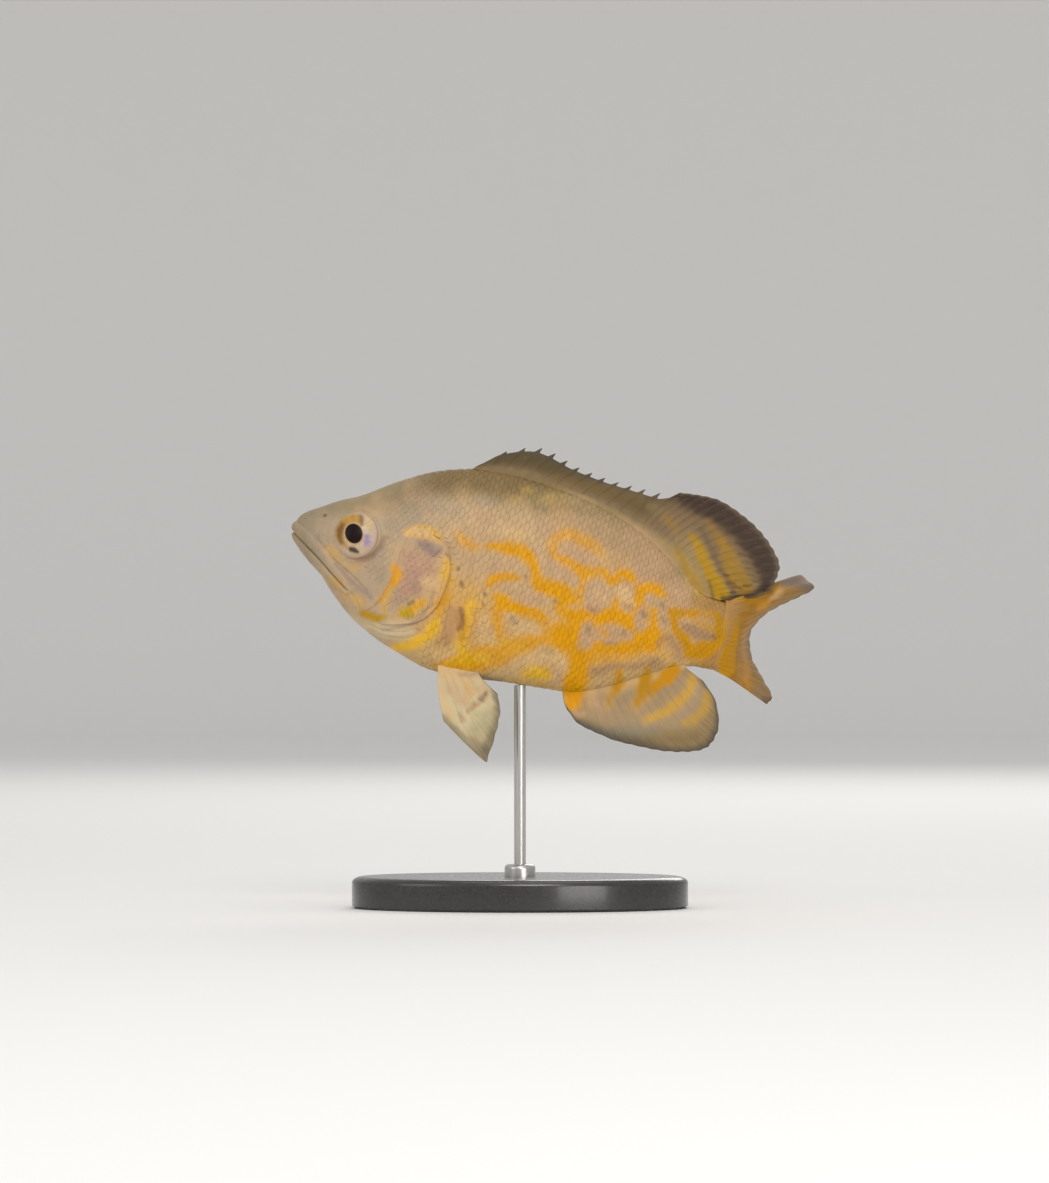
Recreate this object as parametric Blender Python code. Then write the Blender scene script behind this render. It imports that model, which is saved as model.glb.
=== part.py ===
"""A young oscar cichlid at life size, nose up and tail flicked to its right, on a small display stand.

The fish is described in its own frame, as shares of its standard length: "along" runs from the snout tip
to the tail root, "up" towards the back, "left" out of its left flank. place() turns shares into metres.
World axes: the fish looks towards -X, its left flank faces -Y, and +Z is up. The origin is the middle of
the underside of the stand's base.
"""

import math

import bmesh
import bpy
import numpy as np

# Driving dimensions, in metres and radians
STANDARD_LENGTH = 0.097
NOSE_UP = math.radians(14.4)
SNOUT_X, SNOUT_Z = -0.0497, 0.0838
GAP = 0.0003  # left between touching nodes

# Everything below that is not marked mm is a share of the standard length
MM = 0.001 / STANDARD_LENGTH
CLEAR = GAP / STANDARD_LENGTH

# The trunk swings to the fish's right behind SWING_START
SWING_START = 0.50
TAIL_SWING = 0.048

# Outline of the body without its fins, from the side: (along, up)
BACK = [
    (0.000, 0.0000), (0.002, 0.0160), (0.008, 0.0300), (0.0255, 0.0460), (0.046, 0.0590), (0.086, 0.0850),
    (0.127, 0.1060), (0.206, 0.1610), (0.288, 0.2060), (0.375, 0.2315), (0.467, 0.2390), (0.560, 0.2340),
    (0.655, 0.2200), (0.740, 0.1960), (0.820, 0.1600), (0.890, 0.1150), (0.945, 0.0840), (1.000, 0.0775),
]
BELLY = [
    (0.000, 0.0000), (0.0015, -0.0090), (0.005, -0.0185), (0.018, -0.0315), (0.045, -0.0540),
    (0.076, -0.0800), (0.118, -0.1215), (0.190, -0.1750), (0.280, -0.2125), (0.386, -0.2365),
    (0.449, -0.2350), (0.538, -0.2230), (0.630, -0.2145), (0.696, -0.2080), (0.770, -0.1800),
    (0.850, -0.1330), (0.920, -0.0930), (0.965, -0.0800), (1.000, -0.0785),
]
# Half the thickness of the body, and the height at which it is thickest
HALF_WIDTH = [
    (0.000, 0.0000), (0.002, 0.0150), (0.008, 0.0270), (0.020, 0.0390), (0.045, 0.0520), (0.085, 0.0650),
    (0.140, 0.0790), (0.220, 0.0920), (0.320, 0.0990), (0.420, 0.0985), (0.550, 0.0890), (0.700, 0.0670),
    (0.820, 0.0470), (0.920, 0.0320), (1.000, 0.0235),
]
WIDEST_AT = [(0.000, 0.0), (0.100, -0.012), (0.300, -0.032), (0.500, -0.015), (0.800, 0.0), (1.000, 0.0)]
CREST, KEEL = 1.12, 0.92  # how pointed the section is above and below its widest height

AROUND = 32  # points round the body
HEAD_RINGS, TRUNK_RINGS, STEM_RINGS = 18, 20, 4
STEM_FROM = 0.915

# Eye: a flattened ball let into the head
EYE_AT = (0.1426, 0.0179)
EYE_RADIUS, EYE_DEPTH = 0.0567, 0.0309
EYE_SUNK = 0.0155
NOSTRIL_AT = (0.0612, 0.0430)
NOSTRIL_RADIUS = 0.0050

# Mouth: the gape from in front of the snout to its corner, then the line round the jaw to the throat
GAPE = [(-0.030, 0.0120), (0.006, -0.0125), (0.034, -0.0295), (0.076, -0.0555), (0.120, -0.0860), (0.154, -0.1080)]
JAW_HINGE = [(0.180, -0.1290), (0.194, -0.1600), (0.198, -0.2300)]
UPPER_LIP, LOWER_LIP = 0.0130, 0.0105  # half heights where the lips are fullest
LIP_FULLNESS = [(0.000, 0.72), (0.045, 1.00), (0.090, 0.92), (0.154, 0.38)]
LIP_PROUD, LIP_SUNK = 0.0090, 0.0015

# Gill cover: front edge (the cheek's fold) and free rear edge, top to bottom
COVER_FRONT = [(0.274, 0.058), (0.256, 0.020), (0.248, -0.035), (0.239, -0.085), (0.224, -0.126), (0.208, -0.150)]
COVER_REAR = [(0.300, 0.064), (0.346, 0.040), (0.364, -0.020), (0.358, -0.078), (0.325, -0.133), (0.236, -0.166)]
COVER_THICK = 1.5 * MM
COVER_PROUD = 0.65 * MM  # how far the free edge stands off

# Fin rays: along, where the ray leaves the body, and (along, up) of its tip
DORSAL_SPINES, DORSAL_SOFT = 13, 20
DORSAL_FROM, DORSAL_SOFT_FROM, DORSAL_TO = 0.360, 0.757, 0.968
DORSAL_TIPS = [
    (0.360, 0.382, 0.248), (0.391, 0.424, 0.286), (0.454, 0.503, 0.314), (0.550, 0.600, 0.291),
    (0.640, 0.693, 0.282), (0.735, 0.795, 0.282), (0.757, 0.828, 0.294), (0.800, 0.905, 0.301),
    (0.845, 0.995, 0.274), (0.885, 1.062, 0.228), (0.915, 1.092, 0.182), (0.940, 1.087, 0.143),
    (0.968, 1.030, 0.098),
]
ANAL_SPINES, ANAL_SOFT = 3, 15
ANAL_FROM, ANAL_TO = 0.683, 0.937
ANAL_TIPS = [
    (0.683, 0.7035, -0.2465), (0.703, 0.739, -0.272), (0.730, 0.785, -0.2815), (0.750, 0.835, -0.288),
    (0.790, 0.915, -0.2865), (0.830, 0.990, -0.2735), (0.865, 1.037, -0.247), (0.895, 1.048, -0.205),
    (0.920, 1.028, -0.148), (0.937, 0.985, -0.107),
]
# Tail fin: side, 1 at the top ray and -1 at the bottom one, and (along, up) of the tip as seen from the side
TAIL_RAYS = 16
TAIL_TIPS = [
    (-1.00, 1.146, -0.124), (-0.85, 1.154, -0.108), (-0.60, 1.123, -0.069), (-0.35, 1.087, -0.027),
    (-0.05, 1.071, 0.026), (0.20, 1.092, 0.074), (0.40, 1.121, 0.104), (0.65, 1.160, 0.137),
    (0.85, 1.183, 0.162), (1.00, 1.150, 0.182),
]
TAIL_RAY_LENGTH, TAIL_EDGE_LENGTH = 0.250, 0.240
TAIL_ROOT = 0.0745  # half the height of the fin's root
TAIL_BEND_ENDS = 0.34  # share of the ray over which it bends aside
TAIL_ARCH = 0.012  # how far the top ray bows up
# Pelvic fin: spine and five soft rays, (root along, tip along, tip up, tip left)
PELVIC_RAYS = [
    (0.395, 0.440, -0.341, 0.053), (0.406, 0.555, -0.405, 0.074), (0.421, 0.559, -0.362, 0.072),
    (0.439, 0.560, -0.326, 0.068), (0.461, 0.557, -0.291, 0.062), (0.488, 0.541, -0.252, 0.053),
]
PELVIC_ROOT_LEFT = 0.034
# Pectoral fin: (along, up) of the root's ends, then of the tips, and how far the tips stand out
PECTORAL_RAYS = 12
PECTORAL_ROOT = [(0.400, -0.082), (0.408, -0.115), (0.426, -0.150)]
PECTORAL_TIPS = [
    (0.000, 0.590, -0.052), (0.200, 0.632, -0.088), (0.450, 0.640, -0.132), (0.700, 0.610, -0.176),
    (0.900, 0.560, -0.205), (1.000, 0.520, -0.212),
]
PECTORAL_OUT = 0.095

FIN_ROWS = 5
MEMBRANE, MEMBRANE_EDGE, RAY_RIDGE = 0.55 * MM, 0.50 * MM, 0.42 * MM
RAY_FOOT = 0.22  # half width of a ray's ridge, as a share of the space between rays

# Display stand, in metres
BASE_LENGTH, BASE_WIDTH, BASE_HEIGHT, BASE_BEVEL = 0.074, 0.046, 0.007, 0.0015
ROD_X, ROD_RADIUS = 0.0, 0.0013
COLLAR_RADIUS, COLLAR_HEIGHT = 0.0034, 0.0024
BASE_SIDES, ROD_SIDES = 40, 12


def smooth(points):
    """A curve through the points that keeps their rises and falls, as a function of the first number."""
    table = np.array(points, float)
    x, y = table[:, 0], table[:, 1]
    step = np.diff(x)
    rise = np.diff(y) / step
    slope = np.empty(len(x))
    slope[0], slope[-1] = rise[0], rise[-1]
    for i in range(1, len(x) - 1):
        a, b = rise[i - 1], rise[i]
        slope[i] = 0.0 if a * b <= 0 else 2 * a * b / (a + b)

    def value(at):
        at = np.clip(np.asarray(at, float), x[0], x[-1])
        i = np.clip(np.searchsorted(x, at, side="right") - 1, 0, len(step) - 1)
        t = (at - x[i]) / step[i]
        start = y[i] * (2 * t**3 - 3 * t**2 + 1) + slope[i] * step[i] * (t**3 - 2 * t**2 + t)
        end = y[i + 1] * (3 * t**2 - 2 * t**3) + slope[i + 1] * step[i] * (t**3 - t**2)
        return start + end

    return value


back, belly = smooth(BACK), smooth(BELLY)
half_width, widest_at = smooth(HALF_WIDTH), smooth(WIDEST_AT)


def swing(along):
    """How far the middle of the body lies to the left; it is negative towards the tail."""
    behind = np.clip((np.asarray(along, float) - SWING_START) / (1 - SWING_START), 0, None)
    return -TAIL_SWING * behind**3


TAIL_HEADING = math.atan(3 * TAIL_SWING / (1 - SWING_START))


def place(points):
    """World metres from shares (along, up, left)."""
    along, up, left = (np.asarray(points, float) * STANDARD_LENGTH).T
    x = SNOUT_X + along * math.cos(NOSE_UP) + up * math.sin(NOSE_UP)
    z = SNOUT_Z - along * math.sin(NOSE_UP) + up * math.cos(NOSE_UP)
    return np.stack([x, -left, z], axis=1)


def skin(along, around):
    """Points of the body's surface. around is 0 on the back, half pi on the left flank and pi on the belly."""
    along, around = np.broadcast_arrays(np.asarray(along, float), np.asarray(around, float))
    middle = widest_at(along)
    rise, out = np.cos(around), np.sin(around)
    up = middle + np.where(rise > 0, back(along) - middle, middle - belly(along)) * rise
    shape = np.where(rise > 0, CREST, KEEL)
    left = half_width(along) * np.sign(out) * np.abs(out) ** shape
    return np.stack([along, up, left + swing(along)], axis=-1)


def skin_normal(along, around):
    """Unit vectors out of the body's surface."""
    along, around = np.broadcast_arrays(np.asarray(along, float), np.asarray(around, float))
    along = np.maximum(along, 0.0015)
    fore, aft = skin(along - 0.001, around), skin(along + 0.001, around)
    one, other = skin(along, around - 0.02), skin(along, around + 0.02)
    normal = np.cross(other - one, aft - fore)
    return normal / np.linalg.norm(normal, axis=-1, keepdims=True)


def round_of(along, up):
    """The angle round the body at which its left flank reaches this height."""
    middle = widest_at(along)
    rise = np.where(up > middle, (up - middle) / (back(along) - middle), (up - middle) / (middle - belly(along)))
    return np.arccos(np.clip(rise, -1, 1))


def on_flank(along, up, side=1, lift=0.0):
    """Points of the flank seen at (along, up) from the side, lifted off it; side is 1 for left, -1 for right."""
    around = round_of(along, up)
    left = skin(along, around) + skin_normal(along, around) * np.asarray(lift)[..., None]
    centre = swing(along)
    return np.stack([left[..., 0], left[..., 1], centre + side * (left[..., 2] - centre)], axis=-1)


def material(name, colour, roughness, metallic=0.0):
    made = bpy.data.materials.get(name) or bpy.data.materials.new(name)
    made.use_nodes = True
    shader = made.node_tree.nodes["Principled BSDF"]
    shader.inputs["Base Color"].default_value = (*colour, 1.0)
    shader.inputs["Roughness"].default_value = roughness
    shader.inputs["Metallic"].default_value = metallic
    return made


def skin_paint():
    return material("skin", (0.56, 0.45, 0.27), 0.42)


def fin_paint():
    return material("fin", (0.50, 0.43, 0.24), 0.45)


def clear_fin_paint():
    return material("clear_fin", (0.62, 0.60, 0.50), 0.35)


def solid(name, points, faces, paint=None):
    """A mesh object from world points and faces, with its faces turned outwards."""
    mesh = bpy.data.meshes.new(name)
    mesh.from_pydata([tuple(p) for p in points], [], faces)
    shape = bmesh.new()
    shape.from_mesh(mesh)
    bmesh.ops.recalc_face_normals(shape, faces=shape.faces)
    if shape.calc_volume(signed=True) < 0:
        bmesh.ops.reverse_faces(shape, faces=shape.faces)
    shape.to_mesh(mesh)
    shape.free()
    if paint:
        mesh.materials.append(paint)
    made = bpy.data.objects.new(name, mesh)
    bpy.context.scene.collection.objects.link(made)
    return made


def finish(made, sharp=50):
    """Smooth shading with sharp folds."""
    made.data.shade_smooth()
    made.data.set_sharp_from_angle(angle=math.radians(sharp))
    return made


def loft(name, rings, start, end, paint=None):
    """A closed solid through rings of points, each end drawn together at one point."""
    count, size = len(rings), len(rings[0])
    points = [p for ring in rings for p in ring] + [start, end]
    faces = []
    for r in range(count - 1):
        for i in range(size):
            j = (i + 1) % size
            a, b = r * size, (r + 1) * size
            faces += [(a + i, a + j, b + j), (a + i, b + j, b + i)]
    last = (count - 1) * size
    for i in range(size):
        j = (i + 1) % size
        faces += [(count * size, j, i), (count * size + 1, last + i, last + j)]
    return solid(name, points, faces, paint)


def slab(name, outer, inner, paint=None):
    """A closed solid between two grids of points, both split into triangles alike."""
    rows, columns = outer.shape[:2]
    points = list(outer.reshape(-1, 3)) + list(inner.reshape(-1, 3))
    under = rows * columns

    def at(r, c):
        return r * columns + c

    faces = []
    for r in range(rows - 1):
        for c in range(columns - 1):
            a, b, d, e = at(r, c), at(r, c + 1), at(r + 1, c + 1), at(r + 1, c)
            faces += [(a, b, d), (a, d, e), (under + a, under + d, under + b), (under + a, under + e, under + d)]
    rim = [at(0, c) for c in range(columns)] + [at(r, columns - 1) for r in range(1, rows)]
    rim += [at(rows - 1, c) for c in range(columns - 2, -1, -1)] + [at(r, 0) for r in range(rows - 2, 0, -1)]
    for a, b in zip(rim, rim[1:] + rim[:1]):
        faces += [(a, under + b, b), (a, under + a, under + b)]
    return solid(name, points, faces, paint)


def cut(made, cutters, operation="DIFFERENCE"):
    """Applies one Boolean with all the cutters, and removes them."""
    group = bpy.data.collections.new("cutters")
    for cutter in cutters:
        group.objects.link(cutter)
    modifier = made.modifiers.new("cut", "BOOLEAN")
    modifier.operand_type = "COLLECTION"
    modifier.collection = group
    modifier.operation = operation
    modifier.solver = "EXACT"
    bpy.context.view_layer.update()
    evaluated = made.evaluated_get(bpy.context.evaluated_depsgraph_get())
    mesh = bpy.data.meshes.new_from_object(evaluated)
    made.modifiers.clear()
    made.data = mesh
    for cutter in cutters:
        bpy.data.objects.remove(cutter)
    bpy.data.collections.remove(group)
    return made


def bodies_of(made):
    """The closed surfaces of a mesh as lists of face indices, the largest volume first."""
    shape = bmesh.new()
    shape.from_mesh(made.data)
    shape.faces.ensure_lookup_table()
    seen, found = set(), []
    for first in shape.faces:
        if first.index in seen:
            continue
        seen.add(first.index)
        queue, body = [first], []
        while queue:
            face = queue.pop()
            body.append(face.index)
            for edge in face.edges:
                for other in edge.link_faces:
                    if other.index not in seen:
                        seen.add(other.index)
                        queue.append(other)
        volume = 0.0
        for index in body:
            corners = [v.co for v in shape.faces[index].verts]
            for a, b in zip(corners[1:], corners[2:]):
                volume += corners[0].dot(a.cross(b)) / 6
        found.append((abs(volume), body))
    shape.free()
    return [body for _, body in sorted(found, key=lambda each: -each[0])]


def keep_faces(made, keep):
    """Deletes every face that is not in keep, and the loose points."""
    keep = set(keep)
    shape = bmesh.new()
    shape.from_mesh(made.data)
    shape.faces.ensure_lookup_table()
    gone = [face for face in shape.faces if face.index not in keep]
    bmesh.ops.delete(shape, geom=gone, context="FACES")
    shape.to_mesh(made.data)
    shape.free()
    return made


# Body


def gill_line(around):
    """Where the head ends and the trunk begins, under the gill cover's free edge."""
    low = (1 - np.cos(around)) / 2
    return 0.300 + 0.048 * np.sin(around) ** 2 - 0.030 * low


def body_angles():
    return np.linspace(0, 2 * math.pi, AROUND, endpoint=False)


def body_piece(name, starts, ends, rings, shares, first_middle, last_middle):
    """A length of the body between two curves of along, with a fan at each end."""
    around = body_angles()
    made = [place(skin(starts + (ends - starts) * share, around)) for share in shares(rings)]
    tips = [place([[along, widest_at(along), swing(along)]])[0] for along in (first_middle, last_middle)]
    return loft(name, made, *tips, paint=skin_paint())


def even(count):
    return np.linspace(0, 1, count)


def closer_in_front(count):
    return np.linspace(0.045, 1, count) ** 1.7


def whole_head():
    end = gill_line(body_angles())
    return body_piece("head", np.zeros(AROUND), end, HEAD_RINGS, closer_in_front, 0.0, 0.315)


def trunk():
    start = gill_line(body_angles()) + 1.3 * CLEAR
    end = np.full(AROUND, STEM_FROM)
    return body_piece("trunk", start, end, TRUNK_RINGS, even, 0.315 + 1.3 * CLEAR, STEM_FROM)


def tail_stem():
    start, end = np.full(AROUND, STEM_FROM + CLEAR), np.ones(AROUND)
    return body_piece("tail_stem", start, end, STEM_RINGS, even, STEM_FROM + CLEAR, 1.0)


def ball(name, middle, normal, wide, deep, paint=None, segments=20, rings=10):
    """A ball flattened along normal, as radii in shares, about a world point."""
    from_axis = np.array(normal) / np.linalg.norm(normal)
    across = np.cross(from_axis, (0.0, 0.0, 1.0))
    across /= np.linalg.norm(across)
    over = np.cross(from_axis, across)
    shape_rings = []
    for r in range(1, rings):
        tilt = math.pi * r / rings
        ring = []
        for s in range(segments):
            turn = 2 * math.pi * s / segments
            flat = across * math.cos(turn) + over * math.sin(turn)
            ring.append(middle + STANDARD_LENGTH * (from_axis * deep * math.cos(tilt) + flat * wide * math.sin(tilt)))
        shape_rings.append(ring)
    ends = [middle + STANDARD_LENGTH * deep * from_axis * way for way in (1, -1)]
    return loft(name, shape_rings, *ends, paint=paint)


def flank_spot(at, side, lift):
    """A world point on the flank and the world direction out of it."""
    low, high = (place(on_flank(np.array([at[0]]), np.array([at[1]]), side, [h]))[0] for h in (lift, lift + MM))
    return low, (high - low) / np.linalg.norm(high - low)


def eye(side, name, grow=0.0, paint=None):
    middle, out = flank_spot(EYE_AT, side, -EYE_SUNK)
    return ball(name, middle, out, EYE_RADIUS + grow, EYE_DEPTH + grow, paint)


def nostril(side):
    middle, out = flank_spot(NOSTRIL_AT, side, 0.0)
    return ball("nostril", middle, out, NOSTRIL_RADIUS, NOSTRIL_RADIUS * 1.6, segments=10, rings=6)


def line_through(points, samples):
    """Points along a smooth line through a list of (along, up)."""
    table = np.array(points, float)
    steps = np.concatenate([[0], np.cumsum(np.linalg.norm(np.diff(table, axis=0), axis=1))])
    at = np.linspace(0, steps[-1], samples)
    return np.stack([smooth(list(zip(steps, table[:, i])))(at) for i in (0, 1)], axis=1)


def beside(line, distance):
    """A line moved sideways by a distance that may change along it, to its left as it runs tailwards."""
    step = np.gradient(line, axis=0)
    step /= np.linalg.norm(step, axis=1, keepdims=True)
    return line + np.stack([-step[:, 1], step[:, 0]], axis=1) * np.reshape(distance, (-1, 1))


def lip(name, half_height, way, grow=0.0, paint=None, rings=30, sides=8):
    """A tube laid on the skin along one edge of the gape, from corner to corner round the snout."""
    gape = line_through(GAPE, 900)
    fade = smooth(LIP_FULLNESS)(gape[:, 0])
    line = beside(gape, way * (half_height * fade + 0.6 * CLEAR))
    inside = (line[:, 1] < back(line[:, 0]) - 1e-4) & (line[:, 1] > belly(line[:, 0]) + 1e-4) & (line[:, 0] > 0.0005)
    line, fade = line[inside], fade[inside]
    around = round_of(line[:, 0], line[:, 1])
    centre, out = skin(line[:, 0], around), skin_normal(line[:, 0], around)
    centre[0, 2] = out[0, 2] = 0.0
    centre = np.concatenate([centre[:0:-1] * (1, 1, -1), centre])
    out = np.concatenate([out[:0:-1] * (1, 1, -1), out])
    fade = np.concatenate([fade[:0:-1], fade])
    run = np.concatenate([[0], np.cumsum(np.linalg.norm(np.diff(centre, axis=0), axis=1))])
    at = np.linspace(0, run[-1], rings)
    centre = np.stack([np.interp(at, run, centre[:, i]) for i in range(3)], axis=1)
    out = np.stack([np.interp(at, run, out[:, i]) for i in range(3)], axis=1)
    out /= np.linalg.norm(out, axis=1, keepdims=True)
    fade = np.interp(at, run, fade)
    ahead = np.gradient(centre, axis=0)
    over = np.cross(out, ahead)
    over /= np.linalg.norm(over, axis=1, keepdims=True)
    tube = []
    for i in range(rings):
        turn = np.linspace(0, 2 * math.pi, sides, endpoint=False)[:, None]
        tall, thick = half_height * fade[i] + grow, LIP_PROUD * fade[i] ** 0.5 + grow
        ring = centre[i] - out[i] * LIP_SUNK + over[i] * tall * np.sin(turn) + out[i] * thick * np.cos(turn)
        tube.append(place(ring))
    ends = [place([centre[i] + (centre[i] - centre[j]) * 0.3 - out[i] * LIP_SUNK])[0] for i, j in ((0, 1), (-1, -2))]
    return loft(name, tube, *ends, paint=paint)


def gill_cover(name, side, grow=0.0, paint=None, rows=10, columns=8):
    """A curved plate over the gills, thin and lifted at its free edge. A grown one cuts its pocket."""
    front, rear = line_through(COVER_FRONT, rows), line_through(COVER_REAR, rows)
    front, rear = front - (grow, 0), rear + (grow, 0)
    for edge in (front, rear):
        edge[0, 1] += grow
        edge[-1, 1] -= grow
    across = np.linspace(0, 1, columns)[None, :, None]
    grid = front[:, None] * (1 - across) + rear[:, None] * across
    lifts = np.broadcast_to((across**2)[..., 0] * COVER_PROUD + 0.05 * MM, grid.shape[:2])
    top = lifts if not grow else np.full(grid.shape[:2], 4 * MM)
    bottom = lifts - COVER_THICK - grow
    faces = [place(on_flank(grid[..., 0].ravel(), grid[..., 1].ravel(), side, lift.ravel())) for lift in (top, bottom)]
    outer, inner = (face.reshape(rows, columns, 3) for face in faces)
    return slab(name, outer, inner, paint)


def jaw_cut():
    """A thin sheet across the head along the gape and down to the throat."""
    line = np.concatenate([line_through(GAPE, 14), np.array(JAW_HINGE)])
    upper, lower = beside(line, CLEAR / 2), beside(line, -CLEAR / 2)
    ribbon = np.concatenate([upper, lower[::-1]])
    count = len(ribbon)
    points = np.concatenate([np.insert(ribbon, 2, left, axis=1) for left in (-0.2, 0.2)])
    half = count // 2
    faces = []
    for i in range(count):
        j = (i + 1) % count
        faces.append((i, j, count + j, count + i))
    for base in (0, count):
        for i in range(half - 1):
            faces.append((base + i, base + i + 1, base + count - 2 - i, base + count - 1 - i))
    return solid("jaw_cut", place(points), faces)


def head_and_jaw():
    """The head less its sockets and pockets, then parted from the lower jaw."""
    head = whole_head()
    cutters = [nostril(side) for side in (1, -1)]
    cutters += [eye(side, "socket", CLEAR) for side in (1, -1)]
    cutters += [gill_cover("pocket", side, CLEAR) for side in (1, -1)]
    cut(head, cutters)
    cut(head, [lip("channel", UPPER_LIP, 1, CLEAR)])
    cut(head, [lip("channel", LOWER_LIP, -1, CLEAR)])
    cut(head, [jaw_cut()])
    bodies = bodies_of(head)
    jaw = bpy.data.objects.new("lower_jaw", head.data.copy())
    bpy.context.scene.collection.objects.link(jaw)
    keep_faces(head, bodies[0])
    keep_faces(jaw, bodies[1])
    return [finish(head), finish(jaw)]


# Fins


def ray_columns(rays):
    """Column positions across a fin, and how strong the ray's ridge is at each."""
    space = 1 / (rays - 1)
    at, ridge = [], []
    for i in range(rays):
        for way in (-1, 0, 1):
            place_at = (i + way * RAY_FOOT) * space
            if 0 <= place_at <= 1:
                at.append(place_at)
                ridge.append(1.0 if way == 0 else 0.0)
    return np.array(at), np.array(ridge)


def fin(name, roots, tips, ridge, root_thick, paint, out, bow=0.06, reach=None, path=None, rows=FIN_ROWS):
    """A membrane from roots to tips with its rays raised in its own surface.

    roots and tips hold one point for each column, ridge how much of a ray's ridge it has, root_thick its
    thickness at the root, out the way out of the body there and reach the share of the ray that the
    membrane covers.
    """
    share = np.linspace(0, 1, rows + 1) ** 1.15
    if path is None:
        reach = np.ones(len(roots)) if reach is None else reach
        run = tips - roots
        length = np.linalg.norm(run, axis=1, keepdims=True)
        sideways = np.stack([-run[:, 1], run[:, 0], np.zeros(len(run))], axis=1)
        turn = bow * length * sideways / np.maximum(np.linalg.norm(sideways, axis=1, keepdims=True), 1e-9)
        s = share[:, None, None] * reach[None, :, None]
        grid = roots + run * s + turn * 4 * s * (1 - s)
    else:
        grid = path(share)
    normal = np.cross(np.gradient(grid, axis=1), np.gradient(grid, axis=0))
    out = np.broadcast_to(out, roots.shape)
    normal[0] -= out * np.sum(normal[0] * out, axis=1, keepdims=True)
    normal /= np.linalg.norm(normal, axis=2, keepdims=True)
    s = share[:, None]
    flesh = np.clip(1 - s / 0.30, 0, 1) ** 2
    membrane = MEMBRANE + (MEMBRANE_EDGE - MEMBRANE) * s + (root_thick - MEMBRANE) * flesh
    half = (membrane + RAY_RIDGE * (1 - 0.75 * s) * ridge[None, :]) / 2
    outer, inner = grid + normal * half[..., None], grid - normal * half[..., None]
    return finish(slab(name, *(place(g.reshape(-1, 3)).reshape(g.shape) for g in (outer, inner)), paint), 28)


def median_fin(name, at, ridge, reach, edge, tips, off, thick, lean, bow):
    """A fin on the back or belly. lean is how far its tips lie to the left."""
    tip_along, tip_up = (smooth([(t[0], t[i]) for t in tips])(at) for i in (1, 2))
    root = np.stack([at, edge(at) + off, swing(at)], axis=1)
    tip = np.stack([tip_along, tip_up, swing(np.minimum(tip_along, 1.02)) + lean(at)], axis=1)
    return fin(name, root, tip, ridge, np.full(len(at), thick), fin_paint(), (0.0, 1.0, 0.0), bow, reach)


def dorsal_fin():
    spine_at, spine_ridge = ray_columns(DORSAL_SPINES)
    spine_at = DORSAL_FROM + (DORSAL_SOFT_FROM - DORSAL_FROM) * spine_at * (DORSAL_SPINES - 1) / DORSAL_SPINES
    soft_at, soft_ridge = ray_columns(DORSAL_SOFT)
    soft_at = DORSAL_SOFT_FROM + (DORSAL_TO - DORSAL_SOFT_FROM) * soft_at
    at, ridge = np.concatenate([spine_at, soft_at]), np.concatenate([spine_ridge * 1.3, soft_ridge])
    reach = np.where(at < DORSAL_SOFT_FROM - 0.01, np.where(ridge > 0, 1.0, 0.80), np.where(ridge > 0, 1.0, 0.985))
    return median_fin(
        "dorsal_fin", at, ridge, reach, back, DORSAL_TIPS, CLEAR, 1.9 * MM,
        lambda a: -0.012 * np.clip((a - 0.7) / 0.2, 0, 1), 0.05,
    )


def anal_fin():
    at, ridge = ray_columns(ANAL_SPINES + ANAL_SOFT)
    at = ANAL_FROM + (ANAL_TO - ANAL_FROM) * at
    reach = np.where(ridge > 0, 1.0, 0.985)
    return median_fin(
        "anal_fin", at, ridge, reach, belly, ANAL_TIPS, -CLEAR, 1.9 * MM, lambda a: 0.010 + 0 * a, -0.05
    )


def tail_path(side, root, tip_along, tip_up, share):
    """One tail ray: it keeps its full length, and bends to the fish's right until its tip is where it should be."""
    length = TAIL_RAY_LENGTH + (TAIL_EDGE_LENGTH - TAIL_RAY_LENGTH) * side**2
    rise = tip_up - root[1]
    flat = math.sqrt(length**2 - rise**2)
    fine = np.linspace(0, 1, 121)
    bend = np.clip(fine / TAIL_BEND_ENDS, 0, 1)
    bend = bend * bend * (3 - 2 * bend)
    low, high = TAIL_HEADING, math.radians(115)
    for _ in range(40):
        turned = (low + high) / 2
        heading = TAIL_HEADING + (turned - TAIL_HEADING) * bend
        if flat * np.mean(np.cos(heading)) > tip_along - root[0]:
            low = turned
        else:
            high = turned
    ahead = np.concatenate([[0], np.cumsum((np.cos(heading)[1:] + np.cos(heading)[:-1]) / 2)]) / 120 * flat
    aside = np.concatenate([[0], np.cumsum((np.sin(heading)[1:] + np.sin(heading)[:-1]) / 2)]) / 120 * flat
    along = root[0] + np.interp(share, fine, ahead)
    left = root[2] - np.interp(share, fine, aside)
    arch = TAIL_ARCH * max(side, 0.0) * 4 * share * (1 - share)
    return np.stack([along, root[1] + rise * share + arch, left], axis=1)


def tail_fin():
    at, ridge = ray_columns(TAIL_RAYS)
    side = 1 - 2 * at
    tip_along, tip_up = (smooth([(t[0], t[i]) for t in TAIL_TIPS])(side) for i in (1, 2))
    roots = np.stack([np.full(len(side), 1 + CLEAR), TAIL_ROOT * side, np.full(len(side), float(swing(1.0)))], axis=1)

    def path(share):
        rays = [tail_path(side[i], roots[i], tip_along[i], tip_up[i], share) for i in range(len(side))]
        return np.stack(rays, axis=1)

    thick = 0.9 * MM + 2 * 0.85 * half_width(1.0) * np.sqrt(1 - side**2) * 0.8
    return fin("tail_fin", roots, None, ridge, thick, fin_paint(), (1.0, 0.0, 0.0), path=path, rows=8)


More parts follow.
